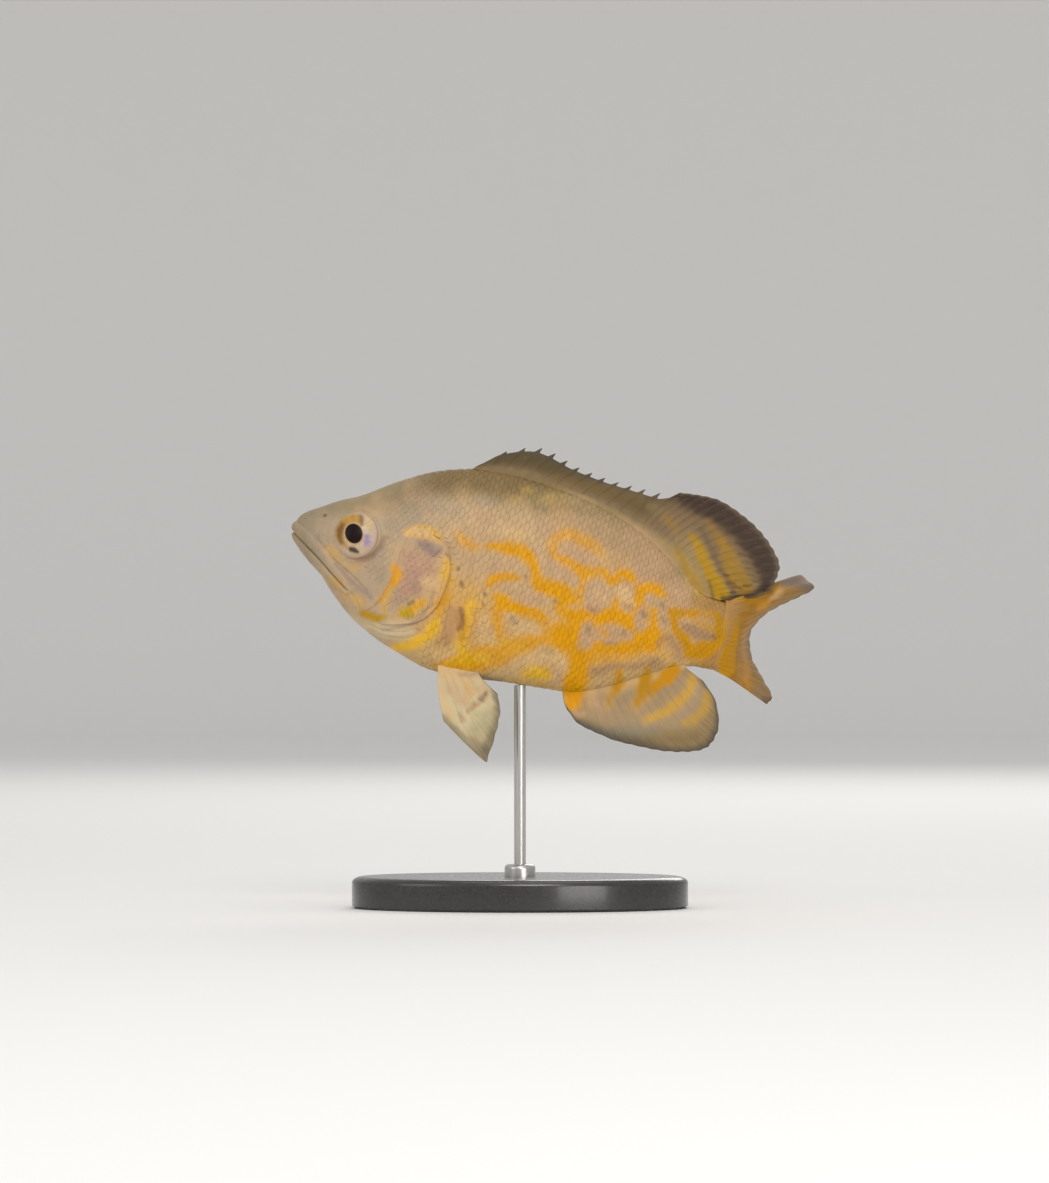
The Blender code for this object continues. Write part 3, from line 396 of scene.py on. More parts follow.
headMarks = [
    # broad tones
    ("snout", 0.55, 22, [(298, 528, 8), (312, 516, 8), (330, 510, 6)]),
    ("lilac", 0.55, 12, [(316, 538, 5), (326, 548, 5)]),
    ("cream", 0.35, 16, [(390, 545, 8), (398, 556, 8)]),
    ("throat", 0.86, 9, [(350, 616, 3), (366, 625, 5), (384, 630, 8), (404, 630, 8)]),
    ("cream", 0.35, 10, [(372, 606, 5), (392, 618, 6), (410, 622, 4)]),
    ("softYellow", 0.60, 9, [(329, 548, 4), (336, 554, 5)]),
    ("softYellow", 0.40, 8, [(343, 562, 3.4), (356, 570, 4)]),
    ("softYellow", 0.35, 10, [(345, 596, 4), (362, 610, 4)]),
    # gill cover
    ("rose", 0.80, 12, [(408, 556, 6), (414, 570, 12), (412, 586, 12), (400, 594, 5)]),
    ("rose", 0.60, 9, [(428, 562, 8), (430, 574, 6)]),
    ("violet", 0.50, 9, [(418, 577, 4), (416, 586, 4)]),
    ("cream", 0.60, 8, [(424, 582, 5), (434, 582, 6)]),
    ("softYellow", 0.92, 5, [(408, 533, 4), (416, 532, 6.4), (426, 532, 7), (434, 535, 6), (439, 539, 3)]),
    ("cream", 0.85, 5, [(408, 534, 3), (416, 532, 4.4), (428, 533, 4)]),
    ("violet", 0.85, 6, [(419, 544, 3.4), (429, 548, 6), (434, 552, 4.6), (440, 549, 3)]),
    ("amber", 0.86, 5, [(395, 567, 3.4), (398, 574, 5.4), (395, 581, 4.6)]),
    ("amber", 0.66, 5, [(393, 583, 3.6), (387, 591, 3.6), (382, 600, 3.4)]),
    ("softYellow", 0.60, 7, [(391, 590, 3), (386, 602, 4), (384, 609, 4)]),
    ("softYellow", 0.80, 7, [(403, 611, 5), (413, 608, 6), (423, 603, 5)]),
    ("oliveYellow", 0.97, 5, [(403, 613, 4.4), (409, 613, 4.6)]),
    ("amber", 0.70, 5, [(413, 610, 3.4), (421, 604, 3.4)]),
    ("brown", 0.62, 3.4, [(408, 605, 1.6), (412, 603, 2.2)]),
    # lower jaw and throat
    ("oliveYellow", 0.50, 7, [(331, 580, 3), (338, 584, 4.4)]),
    ("softYellow", 0.80, 5, [(357, 598, 2.6), (361, 603, 3)]),
    ("oliveYellow", 0.94, 4.4, [(363, 614, 2), (370, 617, 2.8), (378, 619, 3), (384, 617, 2)]),
    ("tailGold", 0.60, 4.4, [(363, 613, 2), (370, 616, 2.8), (378, 618, 2.6)]),
    ("violet", 0.62, 4, [(335, 563, 1.4), (345, 573, 2.0), (355, 583, 2.2), (365, 592, 2.0),
        (372, 599, 1.0)]),
    # shade round the eye and at the gill cover's edge
    ("violet", 0.62, 7, [(350, 558, 1.4), (362, 560, 2.8), (373, 557, 3.4), (381, 549, 2.6),
        (384, 540, 1.2)]),
    ("brown", 0.56, 4, [(350, 557, 1), (358, 559, 2.8), (366, 559, 2.8), (373, 556, 2.2), (380, 547, 1.8),
        (384, 537, 1)]),
    ("violet", 0.50, 3, [(434, 592, 1.4), (430, 604, 1.6), (423, 615, 1.6), (411, 624, 1.4), (398, 629, 1.2),
        (384, 631, 0.8)]),
]
headMarks = [(name, strength, soft * markForm["headMelt"], line) for name, strength, soft, line in headMarks]
dorsalMarks = [
    # spiny part
    ("finSmoke", 0.65, 12, [(470, 458, 6), (520, 456, 8), (570, 466, 8), (620, 484, 7)]),
    ("olive", 0.45, 8, [(560, 480, 5), (600, 488, 6), (640, 500, 6)]),
    ("brown", 0.35, 5, [(550, 480, 2.6), (555, 482, 2.6)]),
    # soft part, from its smoky rim inwards
    ("finDark", 0.88, 12, [(664, 489, 4), (682, 497, 8), (698, 502, 11), (718, 510, 13), (740, 526, 14),
        (759, 547, 14), (772, 570, 11), (768, 588, 8)]),
    ("finBase", 0.80, 8, [(650, 505, 4), (664, 514, 6), (676, 526, 5)]),
    ("finYellow", 0.55, 8, [(666, 516, 2.4), (671, 522, 3.4), (677, 530, 3)]),
    ("finYellow", 0.55, 8, [(707, 524, 2.4), (713, 531, 4), (721, 542, 5)]),
    ("finYellow", 0.88, 8, [(720, 541, 3), (727, 554, 7), (733, 567, 10), (740, 580, 12), (744, 588, 9)]),
    ("finKhaki", 0.45, 8, [(742, 560, 2.4), (750, 572, 3), (755, 583, 4)]),
    ("finYellow", 0.72, 9, [(676, 550, 3), (684, 566, 5), (692, 579, 6), (700, 591, 6)]),
    ("finGold", 0.96, 7, [(691, 537, 2.4), (698, 547, 4.6), (704, 558, 5.4), (710, 572, 6.4), (716, 586, 8),
        (720, 594, 8)]),
    ("finKhaki", 0.70, 5, [(692, 549, 1.6), (701, 569, 2), (706, 590, 2)]),
    ("finDark", 0.34, 5, [(700, 530, 1.2), (708, 543, 1.4), (715, 556, 2), (721, 569, 2.4), (727, 579, 2),
        (733, 592, 2.4)]),
    ("finDark", 0.62, 4.6, [(708, 582, 0.8), (711, 592, 1.4), (712, 601, 1.4)]),
    ("finDark", 0.80, 6, [(722, 600, 2), (737, 599, 2.4), (752, 595, 3), (766, 587, 4)]),
]
dorsalTicks = {
    "places": [(739, 545), (742, 556), (745, 562), (749, 568), (752, 575), (738, 588), (733, 594), (747, 549),
               (752, 557), (757, 564), (761, 572), (757, 581), (746, 585), (731, 584), (725, 575)],
    "long": 3.0,
    "field": [(724, 545), (738, 562), (750, 578)],  # where the rays show pale against the ticks
    "reach": 17,
}
dorsalMarks += [
    ("finDark", 0.62, 4, [(x - dorsalTicks["long"], y - 0.5, 1.2), (x + dorsalTicks["long"], y + 0.5, 1.0)])
    for x, y in dorsalTicks["places"]
]
analMarks = [
    ("rosy", 0.50, 12, [(602, 664, 8), (604, 690, 10), (600, 706, 9)]),
    ("cream", 0.50, 12, [(588, 690, 4), (591, 702, 5)]),
    ("pinkBrown", 0.40, 9, [(600, 664, 4), (610, 668, 4)]),
    ("pinkBrown", 0.35, 9, [(650, 666, 4), (658, 668, 4)]),
    ("glow", 0.40, 14, [(618, 671, 6), (617, 686, 6), (608, 704, 4)]),
    ("glow", 0.40, 14, [(645, 672, 8), (645, 690, 9), (637, 706, 5)]),
    ("stemAmber", 0.92, 8, [(619, 668, 4), (618, 679, 5), (615, 687, 3.6)]),
    ("analAmber", 0.70, 9, [(616, 686, 3), (613, 694, 3), (608, 703, 2)]),
    ("analAmber", 0.95, 8, [(645, 669, 4), (645, 684, 6.6), (642, 694, 5), (638, 704, 2.6)]),
    ("rosy", 0.45, 5, [(653, 692, 1), (652, 680, 1)]),
    ("analAmber", 0.90, 8, [(650, 691, 3), (655, 685, 5)]),
    ("stemAmber", 0.96, 8, [(656, 684, 4.4), (664, 678, 7.4), (672, 671, 6)]),
    ("glow", 0.36, 14, [(692, 680, 5), (686, 696, 6), (668, 711, 6), (650, 719, 4)]),
    ("analYellow", 0.70, 10, [(692, 678, 3), (690, 688, 4.4), (685, 696, 4.4), (677, 704, 4.4),
        (668, 711, 4.4), (657, 716, 3.4), (648, 719, 2.4)]),
    ("analYellow", 0.62, 9, [(706, 695, 3.4), (708, 705, 5), (703, 713, 5), (694, 719, 4.4),
        (686, 723, 3.4)]),
    ("lilac", 0.35, 9, [(700, 688, 3), (696, 702, 3.4), (684, 714, 4)]),
    ("analBlue", 0.85, 14, [(584, 726, 3), (604, 731, 5), (630, 732, 6), (655, 732, 5)]),
    ("rosy", 0.80, 5, [(569, 712, 2), (576, 714, 4), (584, 713, 3)]),
    ("analOlive", 0.70, 16, [(650, 740, 5), (676, 739, 6), (696, 737, 5)]),
]
tailMarks = [
    ("stemAmber", 0.85, 6, [(758, 608, 3), (764, 604, 4.4), (770, 600, 3)]),
    ("cream", 0.66, 7, [(772, 597, 2), (778, 594, 4), (783, 592, 3)]),
    ("stemTone", 0.60, 5, [(722, 606, 3), (733, 608, 4), (746, 605, 3)]),
    ("finGrey", 0.50, 7, [(786, 590, 3), (793, 587, 4)]),
    ("finSmoke", 0.55, 5, [(768, 590, 2), (778, 583, 2.4), (786, 577, 2)]),
    ("tailTip", 0.94, 7, [(789, 580, 9), (800, 580, 10), (816, 583, 9)]),
    ("greyPink", 0.40, 7, [(806, 580, 3), (812, 581, 3)]),
    ("tailGold", 0.99, 4, [(735, 626, 1.6), (733.5, 634, 3), (732, 643, 4.4), (730, 652, 6), (728, 661, 8),
        (726.5, 667, 8.4)]),
    ("stemTone", 0.85, 2.6, [(733, 621, 1.0), (728, 631, 1.6), (724, 641, 1.8), (720, 651, 1.8),
        (714, 659, 2.4), (704, 664, 3)]),
    ("stemTone", 0.50, 7, [(739, 668, 3), (742, 680, 4)]),
    ("tailLine", 0.72, 6, [(747, 636, 1.6), (747, 650, 2.4), (748, 664, 3.4), (748, 678, 3.6),
        (751, 686, 2.6)]),
    ("finGrey", 0.62, 12, [(758, 690, 4), (766, 698, 5), (774, 706, 6)]),
    ("finDark", 0.62, 9, [(768, 702, 4), (778, 706, 8)]),
]
pelvicMarks = [
    ("pinkish", 0.55, 12, [(452, 690, 5), (462, 700, 6), (470, 690, 6)]),
    ("yellow", 0.22, 12, [(466, 684, 4), (470, 694, 4)]),
    ("cream", 0.60, 10, [(440, 690, 3), (446, 706, 4), (452, 718, 3)]),
    ("pelvicGreen", 0.70, 14, [(488, 716, 6), (484, 728, 7), (474, 730, 6)]),
    ("grey", 0.85, 5, [(481.5, 697.5, 2.2), (486, 695, 2.4)]),
    ("brown", 0.45, 3, [(482, 698, 1.8), (485, 695, 2)]),
    ("pinkBrown", 0.92, 5, [(470, 710, 2), (475, 705, 2.4), (478, 702, 1.8)]),
    ("grey", 0.62, 5, [(461, 714, 2), (464, 719, 2.2)]),
    # painted shade where the fin's root meets the belly
    ("violet", 0.45, 5, [(462, 674, 1.6), (476, 676, 2.4), (488, 680, 2)]),
    ("pelvicTip", 0.62, 8, [(445, 717, 0.8), (456, 728, 1.8), (469, 740, 3), (480, 750, 6), (486, 757, 7)]),
    ("pelvicTip", 0.66, 6, [(492, 686, 3), (497, 704, 2.4), (497, 720, 2.4), (491, 736, 4), (488, 750, 6)]),
    ("pelvicGreen", 0.45, 6, [(472, 708, 3), (478, 714, 4)]),
]


def paint(colour, spots, marks, seed, loose=1.0):
    # lays the marks over the colours; wandering edges and patchy cover keep them from looking ruled
    drift = np.zeros_like(spots)
    for order, (size, far) in enumerate(markForm["drift"]):
        drift += far * np.stack([wander(spots, size, seed + 2 * order + i) for i in (1, 2)], axis=1)
    moved = spots + drift * loose
    thin = markForm["thin"] * ease((wander(spots, markForm["thinSize"], seed + 5) - 0.15) / 0.7) * loose
    for name, strength, soft, line in marks:
        table = np.array(line, float)
        reach = table[:, 2].max() + soft
        low, high = table[:, :2].min(axis=0) - reach, table[:, :2].max(axis=0) + reach
        near = np.where(np.all((moved > low) & (moved < high), axis=1))[0]
        if len(near) == 0:
            continue
        distance, _, run = lineDistance(moved[near], table[:, :2])
        steps = np.concatenate([[0], np.cumsum(np.linalg.norm(np.diff(table[:, :2], axis=0), axis=1))])
        width = np.interp(run, steps / steps[-1], table[:, 2])
        cover = strength * (1 - thin[near]) * ease((width + soft / 2 - distance) / soft)
        colour[near] += (palette[name] - colour[near]) * cover[:, None]
    return colour


def plainCoat(name, points):
    return np.tile(palette[name], (len(points), 1))


def layered(colour, *layers):
    # lays tones over the colours; each layer is a name from the palette or colours, and its share
    for tone, share in layers:
        tone = palette[tone] if isinstance(tone, str) else tone
        colour = colour + (tone - colour) * np.reshape(share, (-1, 1))
    return colour


def bodyColour(points, farSide=False):
    # the coat's colour at fish points; the far flank has the same marks, shifted and bent a little
    points = np.asarray(points, float).reshape(-1, 3)
    along, up = points[:, 0], points[:, 1]
    spots = viewSpot(points)
    if farSide:
        bend = np.stack([wander(spots, 46, seed) for seed in (31, 37)], axis=1) * 7
        spots = spots + bend * np.clip((along - 0.2) / 0.2, 0, 1)[:, None]
    here = np.clip(along, 0.0, 1.0)
    high = np.clip((up - belly(here)) / np.maximum(back(here) - belly(here), 1e-6), 0, 1)
    high = high + 0.018 * wander(spots, 18, 4)
    crest = 0.82 + 0.13 * ease((along - 0.40) / 0.24)
    colour = layered(
        plainCoat("ground", points),
        ("warm", ease((0.58 - high) / 0.30) * ease((along - 0.28) / 0.10)),
        ("bellyTone", 0.90 * ease((0.17 - high) / 0.15)),
        ("rosy", ease((along - 0.48) / 0.18) * ease((high - 0.56) / 0.18)),
        ("nape", ease((high - 0.76) / 0.18)),
        ("face", 0.92 * ease((0.36 - along) / 0.12)),
        # the darker brow is partly the coat's own tone and partly painted shade over the top of the head
        ("brow", 0.85 * ease((high - 0.70) / 0.20) * ease((0.34 - along) / 0.12)),
        ("snout", 0.80 * ease((0.12 - along) / 0.12)),
        ("softYellow", 0.22 * ease(wander(spots, 22, 5) / 0.8) * ease((along - 0.30) / 0.1)),
        ("pinkish", 0.35 * ease((wander(spots, 17, 6) - 0.05) / 0.7)),
        ("olive", 0.85 * ease((high - crest) / 0.12) * ease((along - 0.20) / 0.10)),
        ("stemTone", 0.90 * ease((along - 0.93) / 0.06)),
    )
    for marks, seed, loose in ((glowMarks, 10, 1.0), (bodyMarks, 11, 1.0), (headMarks, 12, 0.6)):
        colour = paint(colour, spots, marks, seed, loose)
    tail = along > 0.94
    colour[tail] = paint(colour[tail], spots[tail], tailMarks, 23)
    return colour * (1 + 0.035 * wander(spots, 5, 8) + 0.03 * wander(spots, 2.2, 9))[:, None]


# Meshes


def gridFaces(rows, columns, wrap=False):
    r, c = np.meshgrid(np.arange(rows - 1), np.arange(columns if wrap else columns - 1), indexing="ij")
    a, b = r * columns + c, r * columns + (c + 1) % columns
    return np.stack([a, b, b + columns, a + columns], axis=-1).reshape(-1, 4)


def slabFaces(rows, columns):
    # outer grid, inner grid and the rim that joins them
    front = gridFaces(rows, columns)
    index = np.arange(rows * columns).reshape(rows, columns)
    rim = np.concatenate([index[0], index[1:, -1], index[-1, -2::-1], index[-2:0:-1, 0]])
    after = np.roll(rim, -1)
    edge = np.stack([after, rim, rim + index.size, after + index.size], axis=1)
    return np.concatenate([front, front[:, ::-1] + index.size, edge])


def splitQuads(quads):
    return np.concatenate([quads[:, [0, 1, 2]], quads[:, [0, 2, 3]]])


def facing(faces, outward):
    return faces if outward else faces[:, ::-1]


def addObject(name, data):
    made = bpy.data.objects.new(name, data)
    bpy.context.scene.collection.objects.link(made)
    return made


def solidName(name):
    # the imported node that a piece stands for: gillCoverLeft becomes gill_cover_left
    return "".join("_" + letter.lower() if letter.isupper() else letter for letter in name)


def makePiece(name, points, faces, material, slot, replaced=(), colour=None, values=None, uv=None):
    # a mesh object from world points, with its colours and other values kept on its points
    mesh = bpy.data.meshes.new(name)
    points, faces = np.asarray(points, float).reshape(-1, 3), np.asarray(faces)
    mesh.vertices.add(len(points))
    mesh.vertices.foreach_set("co", points.ravel())
    mesh.loops.add(faces.size)
    mesh.loops.foreach_set("vertex_index", faces.ravel().astype(np.int32))
    mesh.polygons.add(len(faces))
    mesh.polygons.foreach_set("loop_start", (np.arange(len(faces)) * faces.shape[1]).astype(np.int32))
    mesh.update(calc_edges=True)
    mesh.validate()
    if colour is not None:
        coat = mesh.attributes.new("coat", "FLOAT_COLOR", "POINT")
        rgba = np.concatenate([np.clip(colour, 0, 1), np.ones((len(points), 1))], axis=1)
        coat.data.foreach_set("color", rgba.ravel().astype(np.float32))
    for key, value in (values or {}).items():
        layer = mesh.attributes.new(key, "FLOAT", "POINT")
        layer.data.foreach_set("value", np.asarray(value, np.float32).ravel())
    if uv is not None:
        layer = mesh.uv_layers.new(name="OFBake")
        layer.data.foreach_set("uv", np.asarray(uv, np.float32)[faces.ravel()].ravel())
    mesh.shade_smooth()
    mesh.materials.append(material)
    piece = addObject(name, mesh)
    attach(piece, "root")
    if replaced:
        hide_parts(*replaced)
    return piece


# Materials


def feed(node, links):
    # fills a node's inputs; links are (its input, a value or another node's output)
    for socket, value in links:
        if isinstance(value, bpy.types.NodeSocket):
            node.id_data.links.new(value, node.inputs[socket])
        else:
            node.inputs[socket].default_value = value
    return node


def addNode(tree, kind, links=(), **settings):
    node = tree.nodes.new("ShaderNode" + kind)
    for key, value in settings.items():
        setattr(node, key, value)
    return feed(node, links)


def reckon(tree, operation, *values):
    return addNode(tree, "Math", enumerate(values), operation=operation).outputs[0]


def spanned(tree, value, low, high, start=0.0, end=1.0):
    # a value brought from the range start to end into the range low to high
    ranges = [("Value", value), ("From Min", start), ("From Max", end), ("To Min", low), ("To Max", high)]
    return addNode(tree, "MapRange", ranges).outputs[0]


def noise(tree, where, scale, detail, **others):
    links = [("Vector", where), ("Scale", scale), ("Detail", detail), *others.items()]
    return addNode(tree, "TexNoise", links).outputs["Fac"]


def bumped(tree, height, distance, strength):
    links = [("Height", height), ("Distance", distance), ("Strength", strength)]
    return addNode(tree, "Bump", links).outputs["Normal"]


def ownPlace(tree):
    return addNode(tree, "TexCoord").outputs["Object"]


def keptValue(tree, name, output="Fac"):
    # what makePiece kept on the points under that name
    return addNode(tree, "Attribute", attribute_type="GEOMETRY", attribute_name=name).outputs[output]


def newGroup(name, inputs, outputs):
    group = bpy.data.node_groups.new(name, "ShaderNodeTree")
    for label, kind, value in inputs:
        made = group.interface.new_socket(name=label, in_out="INPUT", socket_type="NodeSocket" + kind)
        made.default_value = value
    for label, kind in outputs:
        group.interface.new_socket(name=label, in_out="OUTPUT", socket_type="NodeSocket" + kind)
    return group, group.nodes.new("NodeGroupInput").outputs, group.nodes.new("NodeGroupOutput")


def mottleGroup():
    # varies a colour with soft blotches and fine specks
    group, given, end = newGroup(
        "mottle",
        [
            ("Colour", "Color", (0.5, 0.5, 0.5, 1)), ("Blotch Size", "Float", 300.0),
            ("Speck Size", "Float", 2200.0), ("Depth", "Float", 0.15),
        ],
        [("Colour", "Color")],
    )
    where = ownPlace(group)
    blotch = noise(group, where, given["Blotch Size"], 4.0)
    speck = noise(group, where, given["Speck Size"], 2.0)
    centred = reckon(group, "SUBTRACT", reckon(group, "ADD", blotch, speck), 1.0)
    gain = reckon(group, "ADD", reckon(group, "MULTIPLY", centred, given["Depth"]), 1.0)
    scaled = addNode(group, "VectorMath", [(0, given["Colour"]), (3, gain)], operation="SCALE")
    feed(end, [("Colour", scaled.outputs[0])])
    return group


def slimeGroup():
    # the uneven wet film on fish skin: a fine height and a roughness that changes in patches
    group, given, end = newGroup(
        "slimeFilm",
        [("Grain", "Float", 1800.0), ("Dry", "Float", 0.45), ("Wet", "Float", 0.25)],
        [("Height", "Float"), ("Roughness", "Float")],
    )
    where = ownPlace(group)
    fine = noise(group, where, given["Grain"], 3.0)
    pores = addNode(group, "TexVoronoi", [("Vector", where), ("Scale", given["Grain"])]).outputs["Distance"]
    rough = spanned(group, noise(group, where, 160.0, 3.0), given["Wet"], given["Dry"], 0.3, 0.7)
    feed(end, [("Height", reckon(group, "ADD", fine, pores)), ("Roughness", rough)])
    return group


groups = {"mottle": mottleGroup(), "slime": slimeGroup()}


def placeGroup(tree, name, links):
    return addNode(tree, "Group", links, node_tree=groups[name]).outputs


def newMaterial(name):
    made = bpy.data.materials.new(name)
    made.use_nodes = True
    return made, made.node_tree, made.node_tree.nodes["Principled BSDF"]


coatFinish = {"radius": (0.0016, 0.0009, 0.0005), "coatRough": 0.18, "index": 1.40, "grain": 0.7}
skinFinish = {
    "depth": 0.14, "bump": 0.00003, "dry": 0.56, "wet": 0.40, "subsurface": 0.08, "coat": 0.03, "shine": 0.18,
}
finFinish = {
    "depth": 0.12, "bump": 0.00003, "dry": 0.60, "wet": 0.45, "subsurface": 0.06, "coat": 0.04, "shine": 0.22,
    "segments": 9.0,  # rings of the rays for each millimetre, in radians
}


def coatMaterial(name, finish, fin=False):
    # reads the coat colours kept on the points, and for fins how clear they are and where their rays run
    made, tree, shader = newMaterial(name)
    coat = keptValue(tree, "coat", "Color")
    mottled = placeGroup(tree, "mottle", [("Colour", coat), ("Depth", finish["depth"])])
    film = placeGroup(tree, "slime", [("Dry", finish["dry"]), ("Wet", finish["wet"])])
    height = film["Height"]
    if fin:
        wave = reckon(tree, "SINE", reckon(tree, "MULTIPLY", keptValue(tree, "run"), finish["segments"]))
        height = reckon(tree, "ADD", reckon(tree, "MULTIPLY", wave, keptValue(tree, "ray")), height)
        feed(shader, [("Alpha", keptValue(tree, "solid"))])
    feed(shader, [
        ("Base Color", mottled["Colour"]), ("Roughness", film["Roughness"]),
        ("Normal", bumped(tree, height, finish["bump"], coatFinish["grain"])),
        ("Subsurface Weight", finish["subsurface"]), ("Subsurface Radius", coatFinish["radius"]),
        ("Subsurface Scale", 1.0), ("Coat Weight", finish["coat"]),
        ("Coat Roughness", coatFinish["coatRough"]), ("IOR", coatFinish["index"]),
        ("Specular IOR Level", finish["shine"]),
    ])
    return made


print("materials and marks ready")

# Skin

faceForm = {
    "gape": [(-0.030, 0.0120), (0.006, -0.0125), (0.034, -0.0295), (0.076, -0.0555), (0.120, -0.0860),
        (0.154, -0.1080)],
    "lipFullness": [(0.000, 0.72), (0.045, 1.00), (0.090, 0.92), (0.154, 0.38)],
    "upperLip": 0.0130,  # half height
    "lowerLip": 0.0105,
    "lipProud": 0.0075,
    "crease": (0.0060, 0.0014),  # depth and half width of the line between the lips
    "cheekEdge": [
        (0.262, 0.0600), (0.250, 0.0100), (0.2465, -0.0350), (0.238, -0.0850), (0.222, -0.1250),
        (0.198, -0.1520),
    ],
    "eyeAt": (0.1426, 0.0179),
    "eyeRadius": 0.0567,
    "eyeDepth": 0.0309,
    "eyeSunk": 0.0155,
    "nostrilAt": (0.0612, 0.0430),
    "pores": [
        (0.020, 0.0240), (0.040, 0.0300), (0.088, 0.0640), (0.118, 0.0830), (0.156, 0.0870), (0.192, 0.0760),
        (0.214, 0.0400), (0.062, -0.0060), (0.086, -0.0240), (0.118, -0.0400), (0.152, -0.0500),
        (0.188, -0.0440), (0.060, -0.0600), (0.086, -0.0800), (0.116, -0.1040), (0.148, -0.1290),
        (0.178, -0.1500), (0.238, 0.0300), (0.233, -0.0050), (0.230, -0.0420), (0.221, -0.0780),
        (0.205, -0.1130),
    ],
    "poreSize": 0.0026,
    # each groove: its line, half width, depth and the share of its length over which an end fades
    "grooves": [
        ([(0.046, -0.0060), (0.075, -0.0275), (0.106, -0.0490), (0.149, -0.0715), (0.202, -0.1024)],
         0.0030, 0.0038, 0.15),
        ([(0.158, -0.1100), (0.180, -0.1290), (0.194, -0.1540), (0.198, -0.1740)], 0.0030, 0.0020, 0.12),
        ([(0.205, -0.1660), (0.250, -0.1780), (0.300, -0.1700), (0.338, -0.1420)], 0.0028, 0.0020, 0.20),
        ([(0.215, -0.1780), (0.255, -0.1900), (0.305, -0.1830), (0.345, -0.1560)], 0.0028, 0.0020, 0.20),
    ],
    # raised rings and the pits in them: height, radius and width of each, for a pore in pore sizes
    "eyeRing": (0.0026, 0.0590, 0.0060), "eyePit": (0.0380, 0.0500, 0.0050),
    "nostrilRing": (0.0012, 0.0062, 0.0020), "nostrilPit": (0.0080, 0.0050, 0.0030),
    "poreRing": (0.0005, 1.2, 0.4), "porePit": (0.0016, 1.2, 1.0),
    "underCover": (0.0018, 0.0070, -0.165),  # hollow below the gill cover: depth, half width, lowest place
    "finRootAt": (0.418, -0.118), "finRootSize": (0.030, 0.048), "finRootProud": 0.0050,
    "plain": -0.0005,  # the skin between the folds
}
coverForm = {
    "front": [(0.274, 0.058), (0.256, 0.020), (0.248, -0.035), (0.239, -0.085), (0.224, -0.126),
        (0.208, -0.150)],
    "rear": [(0.300, 0.064), (0.346, 0.040), (0.364, -0.020), (0.358, -0.078), (0.325, -0.133),
        (0.236, -0.166)],
    "proud": 0.42 * mm,  # how far the free edge stands off the flank
    "fringe": 0.0050,  # soft membrane behind the bony edge
    "rows": 72,
    "columns": 56,
}
lateralLine = {
    "upper": [(0.335, 0.075), (0.400, 0.120), (0.480, 0.136), (0.570, 0.131), (0.660, 0.108), (0.740, 0.072)],
    "lower": [(0.640, 0.000), (0.760, 0.000), (0.880, 0.001), (1.000, 0.001)],
}
lipFullness = smoothCurve(faceForm["lipFullness"])


def hill(distance, width):
    return np.exp(-((distance / width) ** 2))


def away(along, up, place):
    return np.hypot(along - place[0], up - place[1])


def fadeEnds(run, share):
    return ease(run / share) * ease((1 - run) / share)


def ringAndPit(distance, ring, pit):
    return ring[0] * hill(distance - ring[1], ring[2]) - pit[0] * ease((pit[1] - distance) / pit[2])


def lipRelief(along, up):
    # bulging lips on either side of the gape, and the crease between them
    distance, side, _ = lineDistance(np.stack([along, up], axis=1), lineThrough(faceForm["gape"], 24))
    above = distance * side
    full = lipFullness(np.clip(along, 0, None))
    relief = np.zeros(len(along))
    for half, way in ((faceForm["upperLip"], 1), (faceForm["lowerLip"], -1)):
        across = (way * above - 0.0006 - half * full) / (half * full)
        relief += faceForm["lipProud"] * np.sqrt(full) * np.sqrt(np.clip(1 - np.abs(across) ** 2.4, 0, 1))
    relief -= faceForm["crease"][0] * hill(above, faceForm["crease"][1])
    return relief * ease((0.166 - along) / 0.014)


def skinRelief(along, up):
    # height of the skin over the plain body, as a share of the length
    relief = np.full(len(along), faceForm["plain"])
    head = np.where(along < 0.40)[0]
    a, u = along[head], up[head]
    spots = np.stack([a, u], axis=1)
    high = np.zeros(len(head))
    front = a < 0.175
    high[front] += lipRelief(a[front], u[front])
    for line, width, depth, fade in faceForm["grooves"]:
        distance, _, run = lineDistance(spots, lineThrough(line, 20))
        high -= depth * hill(distance, width) * fadeEnds(run, fade)
    # the cheek ends in a low step with a groove behind it
    distance, beside, run = lineDistance(spots, lineThrough(faceForm["cheekEdge"], 24))
    behind, before = -0.0030 * np.exp(-distance / 0.006), 0.0016 * hill(distance, 0.010)
    high += fadeEnds(run, 0.15) * np.where(beside > 0, behind, before)
    high += ringAndPit(away(a, u, faceForm["eyeAt"]), faceForm["eyeRing"], faceForm["eyePit"])
    high += ringAndPit(away(a, u, faceForm["nostrilAt"]), faceForm["nostrilRing"], faceForm["nostrilPit"])
    for place in faceForm["pores"]:
        far = away(a, u, place) / faceForm["poreSize"]
        high += ringAndPit(far, faceForm["poreRing"], faceForm["porePit"])
    covered = lineDistance(spots, lineThrough(coverForm["rear"], 24))[0]
    depth, width, lowest = faceForm["underCover"]
    high -= depth * hill(covered, width) * (u > lowest)
    relief[head] += high
    rootAt, rootSize = faceForm["finRootAt"], faceForm["finRootSize"]
    root = np.hypot((along - rootAt[0]) / rootSize[0], (up - rootAt[1]) / rootSize[1])
    return relief + faceForm["finRootProud"] * ease((1.15 - root) / 0.7)


skinGrid = {
    "nose": 88, "face": 104, "trunk": 84, "around": 350, "noseTo": 0.165, "faceTo": 0.375,
    "tipReach": 0.0004, "endReach": 0.002,  # how far the ends of the skin are drawn out
    "blend": 0.25,  # how far down from the back and up from the belly the flanks' marks meet
}


